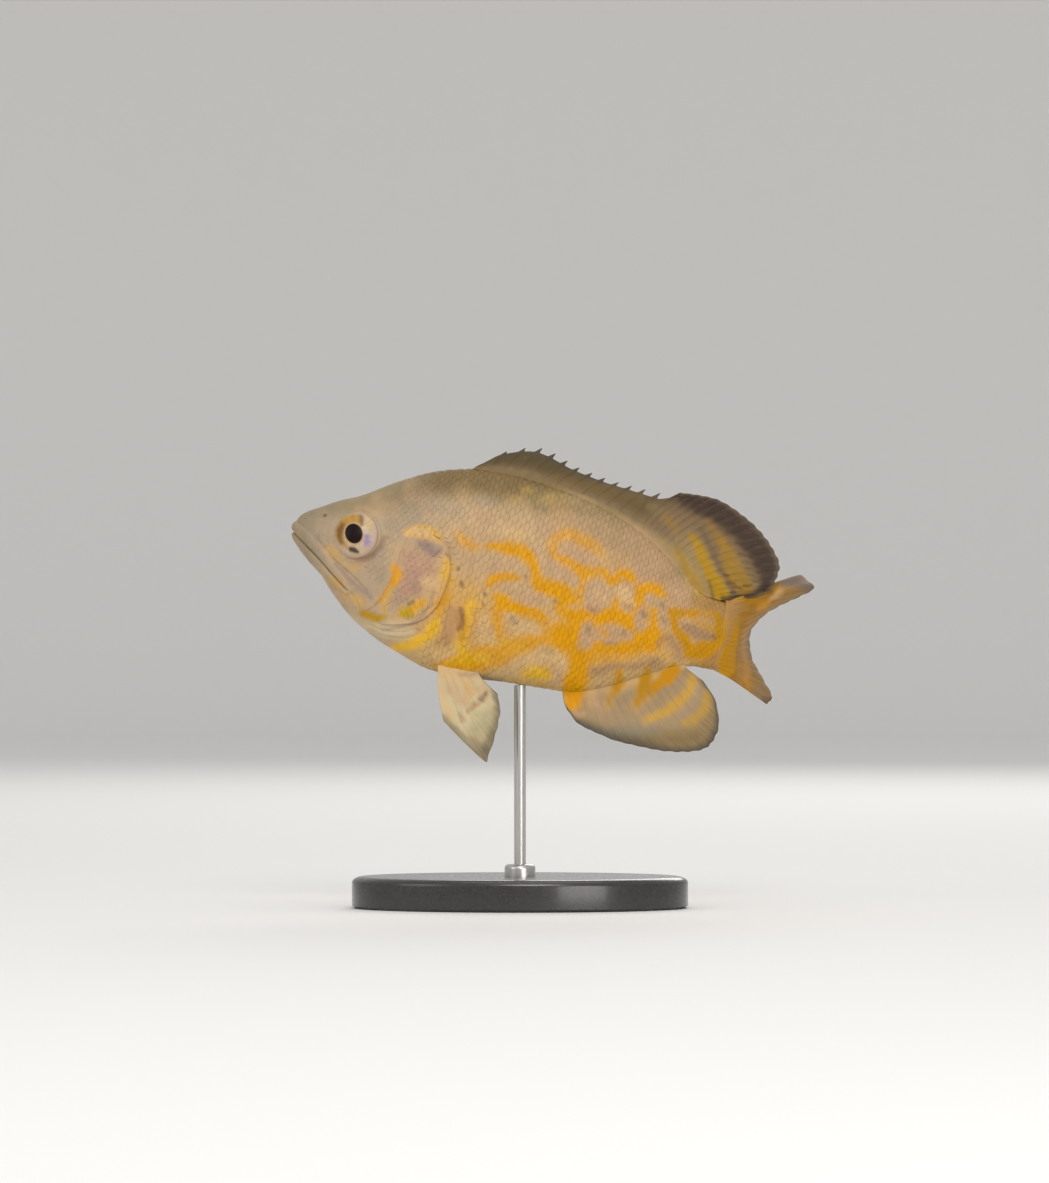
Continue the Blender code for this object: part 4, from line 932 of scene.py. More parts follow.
def makeSkin():
    nose = np.linspace(0.02, 1, skinGrid["nose"]) ** 1.8 * skinGrid["noseTo"]
    cheek = np.linspace(skinGrid["noseTo"], skinGrid["faceTo"], skinGrid["face"] + 1)[1:]
    rest = np.linspace(skinGrid["faceTo"], 1.0, skinGrid["trunk"] + 1)[1:]
    around = np.linspace(0, 2 * math.pi, skinGrid["around"], endpoint=False)
    a, r = np.meshgrid(np.concatenate([nose, cheek, rest]), around, indexing="ij")
    plain = skinPoint(a, r)
    high = skinRelief(a.ravel(), plain[..., 1].ravel()).reshape(a.shape)
    points = plain + skinNormal(a, r) * high[..., None]
    tip = [points[0, :, 0].min() - skinGrid["tipReach"], points[0, :, 1].mean(), 0.0]
    end = [1.0 + skinGrid["endReach"], 0.0, float(swing(1.0))]
    flat = np.concatenate([points.reshape(-1, 3), [tip, end]])
    # the grid, with a fan round the tip and one round the rear end
    rows, columns = a.shape
    ring = np.arange(columns)
    after, last = (ring + 1) % columns, (rows - 1) * columns
    triangles = np.concatenate([
        splitQuads(gridFaces(rows, columns, wrap=True)[:, ::-1]),
        np.stack([np.full(columns, a.size), ring, after], axis=1),
        np.stack([np.full(columns, a.size + 1), last + after, last + ring], axis=1),
    ])
    colour = np.empty((len(flat), 3))
    right = flat[:, 2] < swing(flat[:, 0])
    colour[~right] = bodyColour(flat[~right])
    colour[right] = bodyColour(flat[right], farSide=True)
    # the two flanks' marks meet softly along the back and belly
    edge = ease(1 - np.abs(np.sin(r.ravel())) / skinGrid["blend"])
    shared = np.where(edge > 0)[0]
    colour[shared] = layered(colour[shared], (bodyColour(flat[shared]), edge[shared]))
    makePiece(
        "fishSkin", toWorld(flat), triangles, coatMaterial("oscarSkin", skinFinish), "skin",
        ("head", "lower_jaw", "upper_lip", "lower_lip", "trunk", "tail_stem"), colour,
    )


makeSkin()
print("skin ready")


def coverLift(across):
    # how far the gill cover stands off the flank, from its front edge (0) to its free edge (1)
    return -0.0075 * (1 - ease(across / 0.09)) + coverForm["proud"] * across**2 + 0.0006


def makeGillCover(side, word):
    rows, columns = coverForm["rows"], coverForm["columns"]
    front, rear = lineThrough(coverForm["front"], rows), lineThrough(coverForm["rear"], rows)
    out = rear - front
    out /= np.linalg.norm(out, axis=1, keepdims=True)
    rear = rear + out * coverForm["fringe"] * np.sin(np.linspace(0.15, math.pi, rows))[:, None]
    across, down = np.linspace(0, 1, columns)[None] ** 0.85, np.linspace(0, 1, rows)[:, None]
    grid = front[:, None] * (1 - across[..., None]) + rear[:, None] * across[..., None]
    ends = ease(np.minimum(down, down[::-1]) / 0.10)
    lift = coverLift(across) * ends - 0.0022 * (1 - ends)
    lift = lift + 0.0005 * np.sin(5 * math.pi * down) * ease((across - 0.8) / 0.2)
    thick = 0.0016 + 0.0060 * ease((1 - across) / 0.10)
    sheets = [onFlank(grid[..., 0], grid[..., 1], side, height) for height in (lift, lift - thick)]
    points = np.concatenate([sheet.reshape(-1, 3) for sheet in sheets])
    # painted violet shade darkens the cover along its free edge
    rim = np.tile(np.broadcast_to(ease((across - 0.93) / 0.07), lift.shape).ravel(), 2)
    colour = layered(bodyColour(points, farSide=side < 0), ("violet", 0.20 * rim))
    name, faces = "gillCover" + word, facing(slabFaces(rows, columns), side > 0)
    material = coatMaterial(f"gillCoverSkin{word}", skinFinish)
    makePiece(name, toWorld(points), faces, material, "skin", (solidName(name),), colour)


flanks = ((1, "Left"), (-1, "Right"))
for side, word in flanks:
    makeGillCover(side, word)
print("gill covers ready")

# Scales

scaleForm = {
    "length": [(0.15, 0.0125), (0.25, 0.0150), (0.40, 0.0200), (0.70, 0.0185), (0.90, 0.0150),
        (1.05, 0.0120)],
    "pitch": [(0.15, 0.0084), (0.25, 0.0098), (0.40, 0.0124), (0.65, 0.0118), (0.85, 0.0094), (1.05, 0.0078)],
    "rows": 6,
    "columns": 7,
    "reach": (0.62, 0.66),  # from the root to the sunk front edge and to the free edge, in scale lengths
    "width": 1.16,
    "rise": 0.0005,  # how far the free edge stands up
    "dive": 0.0024,  # how far the front edge is sunk
    "dome": 0.0004,  # how far the middle stands over the sides
    "thick": 0.0005,
    "first": 0.165,  # where the first and last columns of scales lie
    "last": 1.030,
    "rootFade": 0.074,  # how far behind the body's end the tail root thins away
    "pore": (0.0007, 0.22),  # height and width of the tube on a scale of the lateral line
    "turn": 0.004,  # how much each scale strays from its place, length, height and tone
    "stretch": 0.05,
    "lift": 0.00012,
    "tone": 0.025,
    "patch": 0.0015,  # size of a scale on the UV map
    "zones": {"Front": (0.0, 0.50), "Mid": (0.50, 0.72), "Rear": (0.72, 2.0)},
}
scaleLength, scalePitch = smoothCurve(scaleForm["length"]), smoothCurve(scaleForm["pitch"])
arcAlong = np.linspace(0.12, 1.0, 441)
arcAround = np.linspace(0.0, math.pi, 361)


def arcTable():
    # distance round the left flank from its widest line, for many places along the body
    a, r = np.meshgrid(arcAlong, arcAround, indexing="ij")
    steps = np.linalg.norm(np.diff(skinPoint(a, r), axis=1), axis=2)
    total = np.concatenate([np.zeros((len(arcAlong), 1)), np.cumsum(steps, axis=1)], axis=1)
    return total - total[:, len(arcAround) // 2][:, None]


flankArc = arcTable()


def coverShare(along, up):
    # share of the way across the gill cover at a spot, or -1 off it
    front, rear = lineThrough(coverForm["front"], 60), lineThrough(coverForm["rear"], 60)
    start = np.interp(-up, -front[:, 1], front[:, 0])
    end = np.interp(-up, -rear[:, 1], rear[:, 0])
    inside = (up < 0.058) & (up > -0.158) & (along > start) & (along < end)
    return np.where(inside, (along - start) / np.maximum(end - start, 1e-6), -1.0)


def bare(along, up):
    # places with no scales: eye, jaw, snout, cheek edge, gill cover edge, throat, chin and pectoral root
    spots = np.stack([along, up], axis=1)
    cheek = lineDistance(spots, lineThrough(faceForm["cheekEdge"], 24))[0]
    rear = lineDistance(spots, lineThrough(coverForm["rear"], 24))[0]
    gone = away(along, up, faceForm["eyeAt"]) < 0.066
    gone |= (along < 0.215) & (up < 0.020 - 0.9 * (along - 0.10))
    gone |= (along < 0.190) & (up > 0.02)
    gone |= (cheek < 0.011) & (up < 0.055)
    gone |= (rear < 0.008) & (up < 0.062)
    gone |= (along < 0.345) & (up < -0.150)
    gone |= (along < 0.235) & (up < -0.110)
    gone |= np.hypot((along - 0.414) / 0.022, (up + 0.118) / 0.040) < 1.0
    return gone


def scaleRoots():
    # rows of scales run along the flank, every other column set half a step aside
    roots = []
    along, column = scaleForm["first"], 0
    while along < scaleForm["last"]:
        pitch = float(scalePitch(along))
        arc = flankArc[np.abs(arcAlong - along).argmin()]
        most = int(max(-arc[0], arc[-1]) / pitch) + 1
        for row in range(-most, most + 1):
            at = row * pitch
            if (row + column) % 2 == 0 and arc[0] + 0.3 * pitch < at < arc[-1] - 0.3 * pitch:
                roots.append((along, np.interp(at, arc, arcAround)))
        along += float(scaleLength(along)) / 2
        column += 1
    return np.array(roots)


def each(value):
    # one value for every scale, to meet the grid of a scale
    return value[:, None, None]


def scalePlaces(along, around, reach, width, length, pitch):
    # where the points of each scale lie; rows lean with the body, so each point's place round the flank is
    # read at its own place along it
    middle = [np.interp(r, arcAround, flankArc[np.abs(arcAlong - a).argmin()]) for a, r in zip(along, around)]
    size = 0.85 + 0.15 * ease((along - 0.25) / 0.15)
    a = each(along) + reach[None] * each(length)
    arc = each(np.array(middle)) + width[None] * each(pitch) * each(size)
    index = np.clip(np.searchsorted(arcAlong, a), 1, len(arcAlong) - 1)
    r = np.empty_like(a)
    for i in np.unique(index):
        here = index == i
        r[here] = np.interp(arc[here], flankArc[i], arcAround)
    return np.clip(a, 0, 1.06), np.clip(r, 0.002, math.pi - 0.002)


def makeScales(side, word):
    roots = scaleRoots()
    random = np.random.default_rng(7 if side > 0 else 8)
    spots = skinPoint(*roots.T)
    keep = ~bare(spots[:, 0], spots[:, 1])
    least = 0.45 + 12 * np.clip(roots[:, 0] - 0.995, 0, 1)
    keep &= (roots[:, 0] < 0.985) | (np.abs(np.sin(roots[:, 1])) > least)
    roots, spots = roots[keep], spots[keep]
    count = len(roots)
    along, around = roots[:, 0], roots[:, 1] + random.normal(0, scaleForm["turn"], count)
    length = scaleLength(along) * random.uniform(1 - scaleForm["stretch"], 1 + scaleForm["stretch"], count)
    pitch = scalePitch(along)
    tilt = random.normal(0, scaleForm["lift"], count)
    share = coverShare(spots[:, 0], spots[:, 1])
    pored = np.zeros(count, bool)
    for line in lateralLine.values():
        pored |= lineDistance(spots[:, :2], lineThrough(line, 30))[0] < pitch * 0.55
    # a fan: round behind, narrower and sunk in front
    sunk, free = scaleForm["reach"]
    t, b = np.linspace(-sunk, 1, scaleForm["rows"]), np.linspace(-1, 1, scaleForm["columns"])
    t, b = np.meshgrid(t, b, indexing="ij")
    reach = np.where(t > 0, t * np.sqrt(1 - 0.72 * b**2) * free, t * sunk)
    width = scaleForm["width"] * b * np.where(t > 0, 1.0, 1 + 0.28 * t)
    tall = np.where(t > 0, scaleForm["rise"] * t, -scaleForm["dive"] * (t / sunk) ** 2)
    tall = tall + scaleForm["dome"] * (1 - b**2)
    a, r = scalePlaces(along, around, reach, width, length, pitch)
    proud = 0.35 + 0.65 * ease((along - 0.18) / 0.16)  # flatter towards the face
    relief = np.maximum(skinRelief(spots[:, 0], spots[:, 1]), -0.0012)
    base = np.where(share > 0, coverLift(share), relief) + tilt * proud - 0.0005 * (1 - proud)
    height = np.where(tall > 0, tall, 0)[None] * each(proud) + np.minimum(tall, 0)[None] + each(base) + 0.0002
    poreHeight, poreWidth = scaleForm["pore"]
    height = height + each(pored) * poreHeight * hill(b[None], poreWidth) * (t[None] > -0.3)
    thinner = 1 - np.clip(1 - np.clip(a - 1.0, 0, None) / scaleForm["rootFade"], 0, 1) ** 2
    height = height - thinner * float(halfWidth(1.0)) * np.abs(np.sin(r))
    plain, normal = skinPoint(a, r), skinNormal(np.minimum(a, 0.998), r)
    thick = scaleForm["thick"] * (1 + 0.8 * (1 - np.clip(t[None], 0, 1)))
    top, bottom = plain + normal * height[..., None], plain + normal * (height - thick)[..., None]
    colour = bodyColour(top, farSide=side < 0).reshape(top.shape)
    # each scale's own random tone, with painted shade darkening it towards its free edge
    shade = 1 + each(random.normal(0, scaleForm["tone"], count)) - 0.03 * ease((t[None] - 0.62) / 0.38)
    colour = colour * shade[..., None]
    for sheet in (top, bottom) if side < 0 else ():
        sheet[..., 2] = 2 * swing(sheet[..., 0]) - sheet[..., 2]
    points = np.stack([top.reshape(count, -1, 3), bottom.reshape(count, -1, 3)], axis=1)
    colours = np.stack([colour.reshape(count, -1, 3)] * 2, axis=1)
    turn = around if side > 0 else 2 * math.pi - around
    rootUv = np.stack([0.02 + 0.96 * along, turn / (2 * math.pi)], axis=1)
    local = np.stack([t.ravel(), b.ravel()], axis=1) * scaleForm["patch"]
    uv = np.stack([rootUv[:, None] + local[None]] * 2, axis=1)
    slab = facing(slabFaces(*t.shape), side > 0)
    material = coatMaterial(f"scaleCoat{word}", skinFinish)
    for label, (low, high) in scaleForm["zones"].items():
        chosen = (along >= low) & (along < high)
        faces = (slab[None] + each(np.arange(chosen.sum()) * 2 * t.size)).reshape(-1, 4)
        makePiece(
            f"scales{label}{word}", toWorld(points[chosen].reshape(-1, 3)), faces, material, "skin", (),
            colours[chosen].reshape(-1, 3), uv=uv[chosen].reshape(-1, 2),
        )
    return count


scaleCount = sum(makeScales(side, word) for side, word in flanks)
print(f"{scaleCount} scales ready")

# Fins

finForm = {
    "membrane": 0.17 * mm,  # thickness of the web at its root and at its edge
    "edge": 0.09 * mm,
    "ridge": 0.26 * mm,  # how far a ray stands over the web
    "reach": 0.996,  # how far soft rays reach, and how much the web between them falls short
    "scallop": 0.005,
    "ray": 0.12,  # half width of a ray at its root, in ray spacings
    "sunk": 0.045,  # share of a ray that starts inside the body
    "perSpine": 12,
    "rows": 46,
}
medianForm = {"wave": 0.0035, "puff": 0.0004, "smoothRoot": 0.22, "thick": 1.9 * mm}
dorsalForm = {
    "spines": 13, "soft": 20, "perRay": 8, "from": 0.360, "softFrom": 0.757, "to": 0.986,
    "bow": 0.05, "waves": 5,
    # how clear the web gets, where that starts, over what share of it, and how much the rays hold it back
    "clear": (0.14, 0.40, 0.5, 0.6),
    # each point of the outline: its root along the back, then along and up
    "tips": [
        (0.360, 0.382, 0.248), (0.391, 0.424, 0.286), (0.454, 0.503, 0.314), (0.550, 0.600, 0.291),
        (0.640, 0.693, 0.282), (0.735, 0.795, 0.282), (0.757, 0.828, 0.294), (0.800, 0.905, 0.301),
        (0.845, 0.995, 0.274), (0.885, 1.062, 0.228), (0.915, 1.092, 0.182), (0.940, 1.087, 0.143),
        (0.986, 1.038, 0.0950),
    ],
}
analForm = {
    "spines": 3, "soft": 15, "perRay": 9, "from": 0.683, "to": 0.937, "bow": -0.05, "waves": 3,
    "clear": (0.16, 0.50, 0.45, 0.5),
    "tips": [
        (0.683, 0.7035, -0.2465), (0.703, 0.739, -0.272), (0.730, 0.785, -0.2815), (0.750, 0.835, -0.288),
        (0.790, 0.915, -0.2865), (0.830, 0.990, -0.2735), (0.865, 1.037, -0.247), (0.895, 1.048, -0.205),
        (0.920, 1.028, -0.148), (0.937, 0.985, -0.107),
    ],
}
tailForm = {
    "rays": 16, "perRay": 12, "rows": 60, "length": 0.250, "edgeLength": 0.240,
    "rootTop": 0.0840, "rootBottom": 0.0770, "clear": (0.16, 0.50, 0.45, 0.5),
    "bendEnds": 0.34,  # share of a ray over which it bends, and the most that it may turn
    "mostTurn": math.radians(115),
    "arch": 0.010,  # rise of the upper rays' middles
    # each point of the outline: its place from the bottom ray (-1) to the top ray (1), then along and up
    "tips": [
        (-1.00, 1.146, -0.124), (-0.85, 1.154, -0.108), (-0.60, 1.123, -0.069), (-0.35, 1.087, -0.027),
        (-0.05, 1.071, 0.026), (0.20, 1.092, 0.074), (0.40, 1.121, 0.104), (0.65, 1.160, 0.137),
        (0.85, 1.183, 0.162), (1.00, 1.150, 0.182),
    ],
}
pelvicForm = {
    "rootLeft": 0.034,  # how far the roots lie from the middle plane
    "clear": (0.14, 0.55, 0.4, 0.6),
    "perRay": 18,
    # each ray: its root along the belly, then its tip along, up and left
    "rays": [
        (0.395, 0.443, -0.349, 0.054), (0.406, 0.555, -0.405, 0.074), (0.421, 0.559, -0.362, 0.072),
        (0.439, 0.560, -0.326, 0.068), (0.461, 0.557, -0.291, 0.062), (0.488, 0.544, -0.253, 0.054),
    ],
}
pectoralForm = {
    "rays": 12,
    "perRay": 12,
    "out": 0.095,  # how far the tips stand out from the roots
    "root": [(0.400, -0.082), (0.408, -0.115), (0.426, -0.150)],
    "tips": [
        (0.000, 0.590, -0.052), (0.200, 0.632, -0.088), (0.450, 0.640, -0.132), (0.700, 0.610, -0.176),
        (0.900, 0.560, -0.205), (1.000, 0.520, -0.212),
    ],
}


def rayRidge(phase, share, soft):
    # height of the ray at a distance from its middle, in ray spacings; soft rays fork twice
    first = 0.17 * ease((share - 0.36) / 0.50)
    second = 0.075 * ease((share - 0.66) / 0.34)
    width = finForm["ray"] - 0.055 * ease((share - 0.3) / 0.6)
    forks = itertools.product((-1, 1), repeat=2)
    forked = np.max([hill(phase - (one * first + two * second), width) for one, two in forks], axis=0)
    return np.where(soft, forked, hill(phase, finForm["ray"]))


def makeFin(
    name, root, tip, phase, soft, thick, colourOf, path=None, slot="fin", reach=1.0, bow=0.0,
    rows=finForm["rows"], smoothRoot=0.04, taper=None, puff=0.0, wave=0.0, waves=3,
):
    # a thin web with its rays raised on both faces; root and tip hold one point for each column
    share = np.linspace(-finForm["sunk"], 1, rows)
    if path is None:
        run = tip - root
        sideways = np.stack([-run[:, 1], run[:, 0], np.zeros(len(run))], axis=1)
        turn = np.reshape(bow, (-1, 1)) * np.linalg.norm(run, axis=1, keepdims=True) * sideways
        turn /= np.linalg.norm(sideways, axis=1, keepdims=True)
        s = share[:, None, None] * np.where(share[:, None, None] > 0, np.reshape(reach, (1, -1, 1)), 1.0)
        grid = root + run * s + turn * 4 * s * (1 - s)
    else:
        grid = path(share)
    normal = np.cross(np.gradient(grid, axis=1), np.gradient(grid, axis=0))
    normal /= np.linalg.norm(normal, axis=2, keepdims=True)
    s = np.clip(share, 0, 1)[:, None]
    ridge = rayRidge(*np.broadcast_arrays(phase[None], s), soft[None])
    ridge = ridge * np.where(soft[None], 1.0, 1.5 - 0.7 * s) * (1 - 0.55 * s) * ease((s - 0.02) / smoothRoot)
    flesh = np.clip(1 - s / 0.30, 0, 1) ** 2 * (thick - finForm["membrane"])
    if taper:
        flesh = flesh * ease((share[:, None] + finForm["sunk"]) / taper)
    web = finForm["membrane"] + (finForm["edge"] - finForm["membrane"]) * s
    half = (web + flesh + 2 * finForm["ridge"] * ridge) / 2
    waved = wave * s**1.5 * np.sin(np.linspace(0, waves * math.pi, len(root)))
    middle = grid + normal * (puff * np.cos(phase * 2 * math.pi) * s + waved)[..., None]
    points = np.concatenate([(middle + way * normal * half[..., None]).reshape(-1, 3) for way in (1, -1)])
    step = np.linalg.norm(np.diff(grid, axis=0), axis=2)
    run = np.concatenate([np.zeros((1, len(root))), np.cumsum(step, axis=0)]) / mm
    colour, solid = colourOf(middle.reshape(-1, 3), np.repeat(s[:, 0], len(root)), ridge.ravel())
    values = {"ray": ridge, "run": run, "solid": solid}
    values = {key: np.tile(np.ravel(value), 2) for key, value in values.items()}
    faces, colour = slabFaces(rows, len(root)), np.tile(colour, (2, 1))
    material = coatMaterial(name + "Web", finFinish, fin=True)
    makePiece(name, toWorld(points), faces, material, slot, (solidName(name),), colour, values)


def spread(rays, per):
    # columns over a fin: share of the way, distance to the nearest ray and place, both in ray spacings
    at = np.linspace(0, 1, (rays - 1) * per + 1)
    place = at * (rays - 1)
    return at, place - np.round(place), place


def betweenRays(phase):
    # -1 at a ray and 1 half way to the next
    return np.cos(phase * math.pi * 2 + math.pi)


def softReach(phase):
    return finForm["reach"] - finForm["scallop"] * betweenRays(phase)


def finSolid(share, ray, form):
    # how solid the web is: clearer towards its edge, and less so on its rays
    clear, start, over, held = form["clear"]
    return 1 - clear * ease((share - start) / over) * (1 - held * ray)


def medianFin(name, form, at, phase, soft, reach, edge, lean, colourOf):
    tips = np.array(form["tips"])
    tipAlong, tipUp = readColumns(tips[:, 0], tips[:, 1:], at)
    root = np.stack([at, edge(at), swing(at)], axis=1)
    tip = np.stack([tipAlong, tipUp, swing(np.minimum(tipAlong, 1.02)) + lean], axis=1)
    bow = form["bow"] * ease((form["to"] - at) / 0.06)
    others = {"reach": reach, "bow": bow, "waves": form["waves"], **medianForm}
    makeFin(name, root, tip, phase, soft, colourOf=colourOf, **others)


def dorsalColour(points, share, ray):
    along, spots = points[:, 0], viewSpot(points)
    rear = ease((along - 0.74) / 0.10)
    colour = layered(
        plainCoat("finOlive", points),
        ("finBase", ease(1.25 - share / 0.45)),
        ("finSmoke", 0.8 * ease((share - 0.60) / 0.4)),
        ("finWeb", 0.95 * rear),
        ("finKhaki", 0.90 * ease((along - 0.80) / 0.08) * ease(1.3 - share / 0.40)),
        (bodyColour(points), ease(1.2 - share / 0.16)),
    )
    colour = paint(colour, spots, dorsalMarks, 21)
    field = ease(1.15 - lineDistance(spots, dorsalTicks["field"])[0] / dorsalTicks["reach"]) * rear
    colour = layered(
        colour,
        ("finKhaki", 0.35 * ray * field),
        ("finRim", 0.55 * ease((share - 0.93) / 0.06) * ease((along - 0.60) / 0.2)),
        ("finBase", 0.20 * ray * (1 - rear)),
    )
    return colour * (1 + 0.06 * wander(spots, 3.0, 47))[:, None], finSolid(share, ray, dorsalForm)


def makeDorsalFin():
    # the spiny front, whose web dips behind each spine, and the soft rear
    at, phase, place = spread(dorsalForm["spines"] + 1, finForm["perSpine"])
    front = dorsalForm["from"] + (dorsalForm["softFrom"] - dorsalForm["from"]) * at[:-1]
    behind = (place - np.floor(place + 1e-9))[:-1]
    dip = np.minimum(ease(behind / 0.30), ease((1 - behind) / 0.10))
    softAt, softPhase, _ = spread(dorsalForm["soft"], dorsalForm["perRay"])
    rear = dorsalForm["softFrom"] + (dorsalForm["to"] - dorsalForm["softFrom"]) * softAt
    at, phase = np.concatenate([front, rear]), np.concatenate([phase[:-1], softPhase])
    soft, reach = np.arange(len(at)) >= len(front), np.concatenate([1 - 0.19 * dip, softReach(softPhase)])
    lean = -0.012 * np.clip((at - 0.7) / 0.2, 0, 1)
    medianFin("dorsalFin", dorsalForm, at, phase, soft, reach, back, lean, dorsalColour)


def analColour(points, share, ray):
    along, spots = points[:, 0], viewSpot(points)
    colour = layered(
        plainCoat("analTone", points),
        ("analOlive", 0.55 * ease((share - 0.55) / 0.35)),
        (bodyColour(points), ease(1 - share / 0.16)),
    )
    for marks, seed in ((glowMarks, 10), (bodyMarks, 11), (analMarks, 22)):
        colour = paint(colour, spots, marks, seed)
    rim = 0.66 + 0.22 * ease((along - 0.86) / 0.12)
    colour = layered(
        colour,
        ("analEdge", 0.88 * ease((share - rim) / (1 - rim))),
        ("cream", 0.13 * ray * ease((share - 0.2) / 0.3)),
    )
    return colour, finSolid(share, ray, analForm)


def makeAnalFin():
    at, phase, place = spread(analForm["spines"] + analForm["soft"], analForm["perRay"])
    along = analForm["from"] + (analForm["to"] - analForm["from"]) * at
    soft = place > analForm["spines"] - 0.5
    medianFin("analFin", analForm, along, phase, soft, softReach(phase), belly, 0.010, analColour)


def tailPath(side, root, tipAlong, tipUp, share):
    # one tail ray: it keeps its length and bends to the fish's right until its tip shows where it should
    length = tailForm["length"] + (tailForm["edgeLength"] - tailForm["length"]) * side**2
    rise = tipUp - root[1]
    flat = math.sqrt(length**2 - rise**2)
    fine = np.linspace(0, 1, 121)
    bend = ease(fine / tailForm["bendEnds"])
    low, high = tailHeading, tailForm["mostTurn"]
    for _ in range(30):
        turned = (low + high) / 2
        heading = tailHeading + (turned - tailHeading) * bend
        if flat * np.mean(np.cos(heading)) > tipAlong - root[0]:
            low = turned
        else:
            high = turned

    def travelled(rate):
        ran = np.concatenate([[0], np.cumsum((rate[1:] + rate[:-1]) / 2)]) / (len(fine) - 1) * flat
        return np.interp(share, fine, ran) + np.minimum(share, 0) * flat * rate[0]

    part = np.clip(share, 0, 1)
    arch = tailForm["arch"] * max(side, 0.0) * (4 * part * (1 - part)) ** 0.5
    along, left = root[0] + travelled(np.cos(heading)), root[2] - travelled(np.sin(heading))
    return np.stack([along, root[1] + rise * part + arch, left], axis=1)


def tailColour(points, share, ray):
    flat = points * (1, 1, 0) + (0, 0, float(swing(1.0)))
    spots = viewSpot(flat)
    colour = layered(
        plainCoat("tailGround", points),
        ("tailTone", 0.8 * ease((share - 0.50) / 0.35)),
        (bodyColour(flat), ease(1.5 - share / 0.12)),
    )
    streaks = wander(np.stack([spots[:, 1], share * 22], axis=1), 6, 61)
    colour = layered(
        paint(colour, spots, tailMarks, 23),
        ("tailGold", 0.30 * ease(streaks / 0.7) * ease(1.3 - share)),
        ("finRim", 0.35 * ease((share - 0.94) / 0.05)),
        ("cream", 0.08 * ray * ease((share - 0.15) / 0.3)),
    )
    return colour, finSolid(share, ray, tailForm)


def makeTailFin():
    at, phase, _ = spread(tailForm["rays"], tailForm["perRay"])
    side = 1 - 2 * at
    tips = np.array(tailForm["tips"])
    tipAlong, tipUp = readColumns(tips[:, 0], tips[:, 1:], side)
    rootUp = side * np.where(side > 0, tailForm["rootTop"], tailForm["rootBottom"])
    root = np.stack([np.full(len(side), 1.0), rootUp, np.full(len(side), float(swing(1.0)))], axis=1)

    def path(share):
        return np.stack([tailPath(*ray, share) for ray in zip(side, root, tipAlong, tipUp)], axis=1)

    thick = 0.15 * mm + 2 * 0.93 * float(halfWidth(1.0)) * np.sqrt(np.clip(1 - side**2, 0, 1))
    soft = np.ones(len(at), bool)
    makeFin("tailFin", root, root, phase, soft, thick, tailColour, path, rows=tailForm["rows"], puff=0.0004)


def pelvicColour(points, share, ray):
    spots = viewSpot(points)
    colour = layered(
        plainCoat("pelvicWhite", points),
        ("cream", 0.7 * ease(1 - share / 0.30)),
        ("pinkish", 0.45 * ease((wander(spots, 9, 81) - 0.1) / 0.6)),
        ("pelvicTip", 0.80 * ease((share - 0.78) / 0.24)),
    )
    colour = layered(paint(colour, spots, pelvicMarks, 24), ("pelvicWhite", 0.30 * ray))
    return colour, finSolid(share, ray, pelvicForm)


def makePelvicFin(side, word):
    table = np.array(pelvicForm["rays"])
    at, phase, place = spread(len(table), pelvicForm["perRay"])
    rootAlong, *tip = readColumns(np.linspace(0, 1, len(table)), table, at)
    around = math.pi - np.arcsin((pelvicForm["rootLeft"] / halfWidth(rootAlong)) ** (1 / bodyForm["keel"]))
    reach = 1 - 0.014 * (1 + betweenRays(phase)) / 2
    reach = reach - 0.07 * ease(1 - at / 0.14) - 0.05 * ease((at - 0.88) / 0.12)  # rounded corners
    reach = reach + 0.045 * np.sin(math.pi * np.clip(at / 0.2, 0, 1))
    turn = np.array([1, 1, side])
    root, tip = skinPoint(rootAlong, around) * turn, np.stack(tip, axis=1) * turn
    makeFin(
        "pelvicFin" + word, root, tip, phase * side, place > 0.5, 1.5 * mm, pelvicColour, slot="pale_fin",
        reach=reach, bow=-0.04, puff=0.0008, wave=0.003,
    )


def pectoralColour(points, share, ray):
    onBody = bodyColour(points * (1, 1, -1) if points[:, 2].mean() < 0 else points)
    colour = plainCoat("pelvicWhite", points)
    colour = layered(colour, (onBody, ease(1.5 - share / 0.20)), ("ground", 0.5 * ray))
    return colour, np.clip(0.03 + 0.10 * ray + 0.93 * ease(1.0 - share / 0.14), 0, 1)


def makePectoralFin(side, word):
    at, phase, _ = spread(pectoralForm["rays"], pectoralForm["perRay"])
    line = lineThrough(pectoralForm["root"], 41)
    rootAlong, rootUp = (np.interp(at, np.linspace(0, 1, 41), line[:, i]) for i in (0, 1))
    root = onFlank(rootAlong, rootUp, 1, np.full(len(at), 0.0015))
    tips = np.array(pectoralForm["tips"])
    tipAlong, tipUp = readColumns(tips[:, 0], tips[:, 1:], at)
    tip = np.stack([tipAlong, tipUp, root[:, 2] + pectoralForm["out"]], axis=1)
    turn = np.array([1, 1, side])
    makeFin(
        "pectoralFin" + word, root * turn, tip * turn, phase * side, at > 0.05,
        (0.3 + 0.9 * np.sin(math.pi * at) ** 0.7) * mm, pectoralColour, slot="pale_fin",
        reach=1 - 0.016 * (1 + betweenRays(phase)) / 2, smoothRoot=0.30, taper=0.13,
        puff=0.0004, wave=0.004, waves=2,
    )


makeDorsalFin()
makeAnalFin()
makeTailFin()
for side, word in flanks:
    makePelvicFin(side, word)
    makePectoralFin(side, word)
print("fins ready")

# Eyes

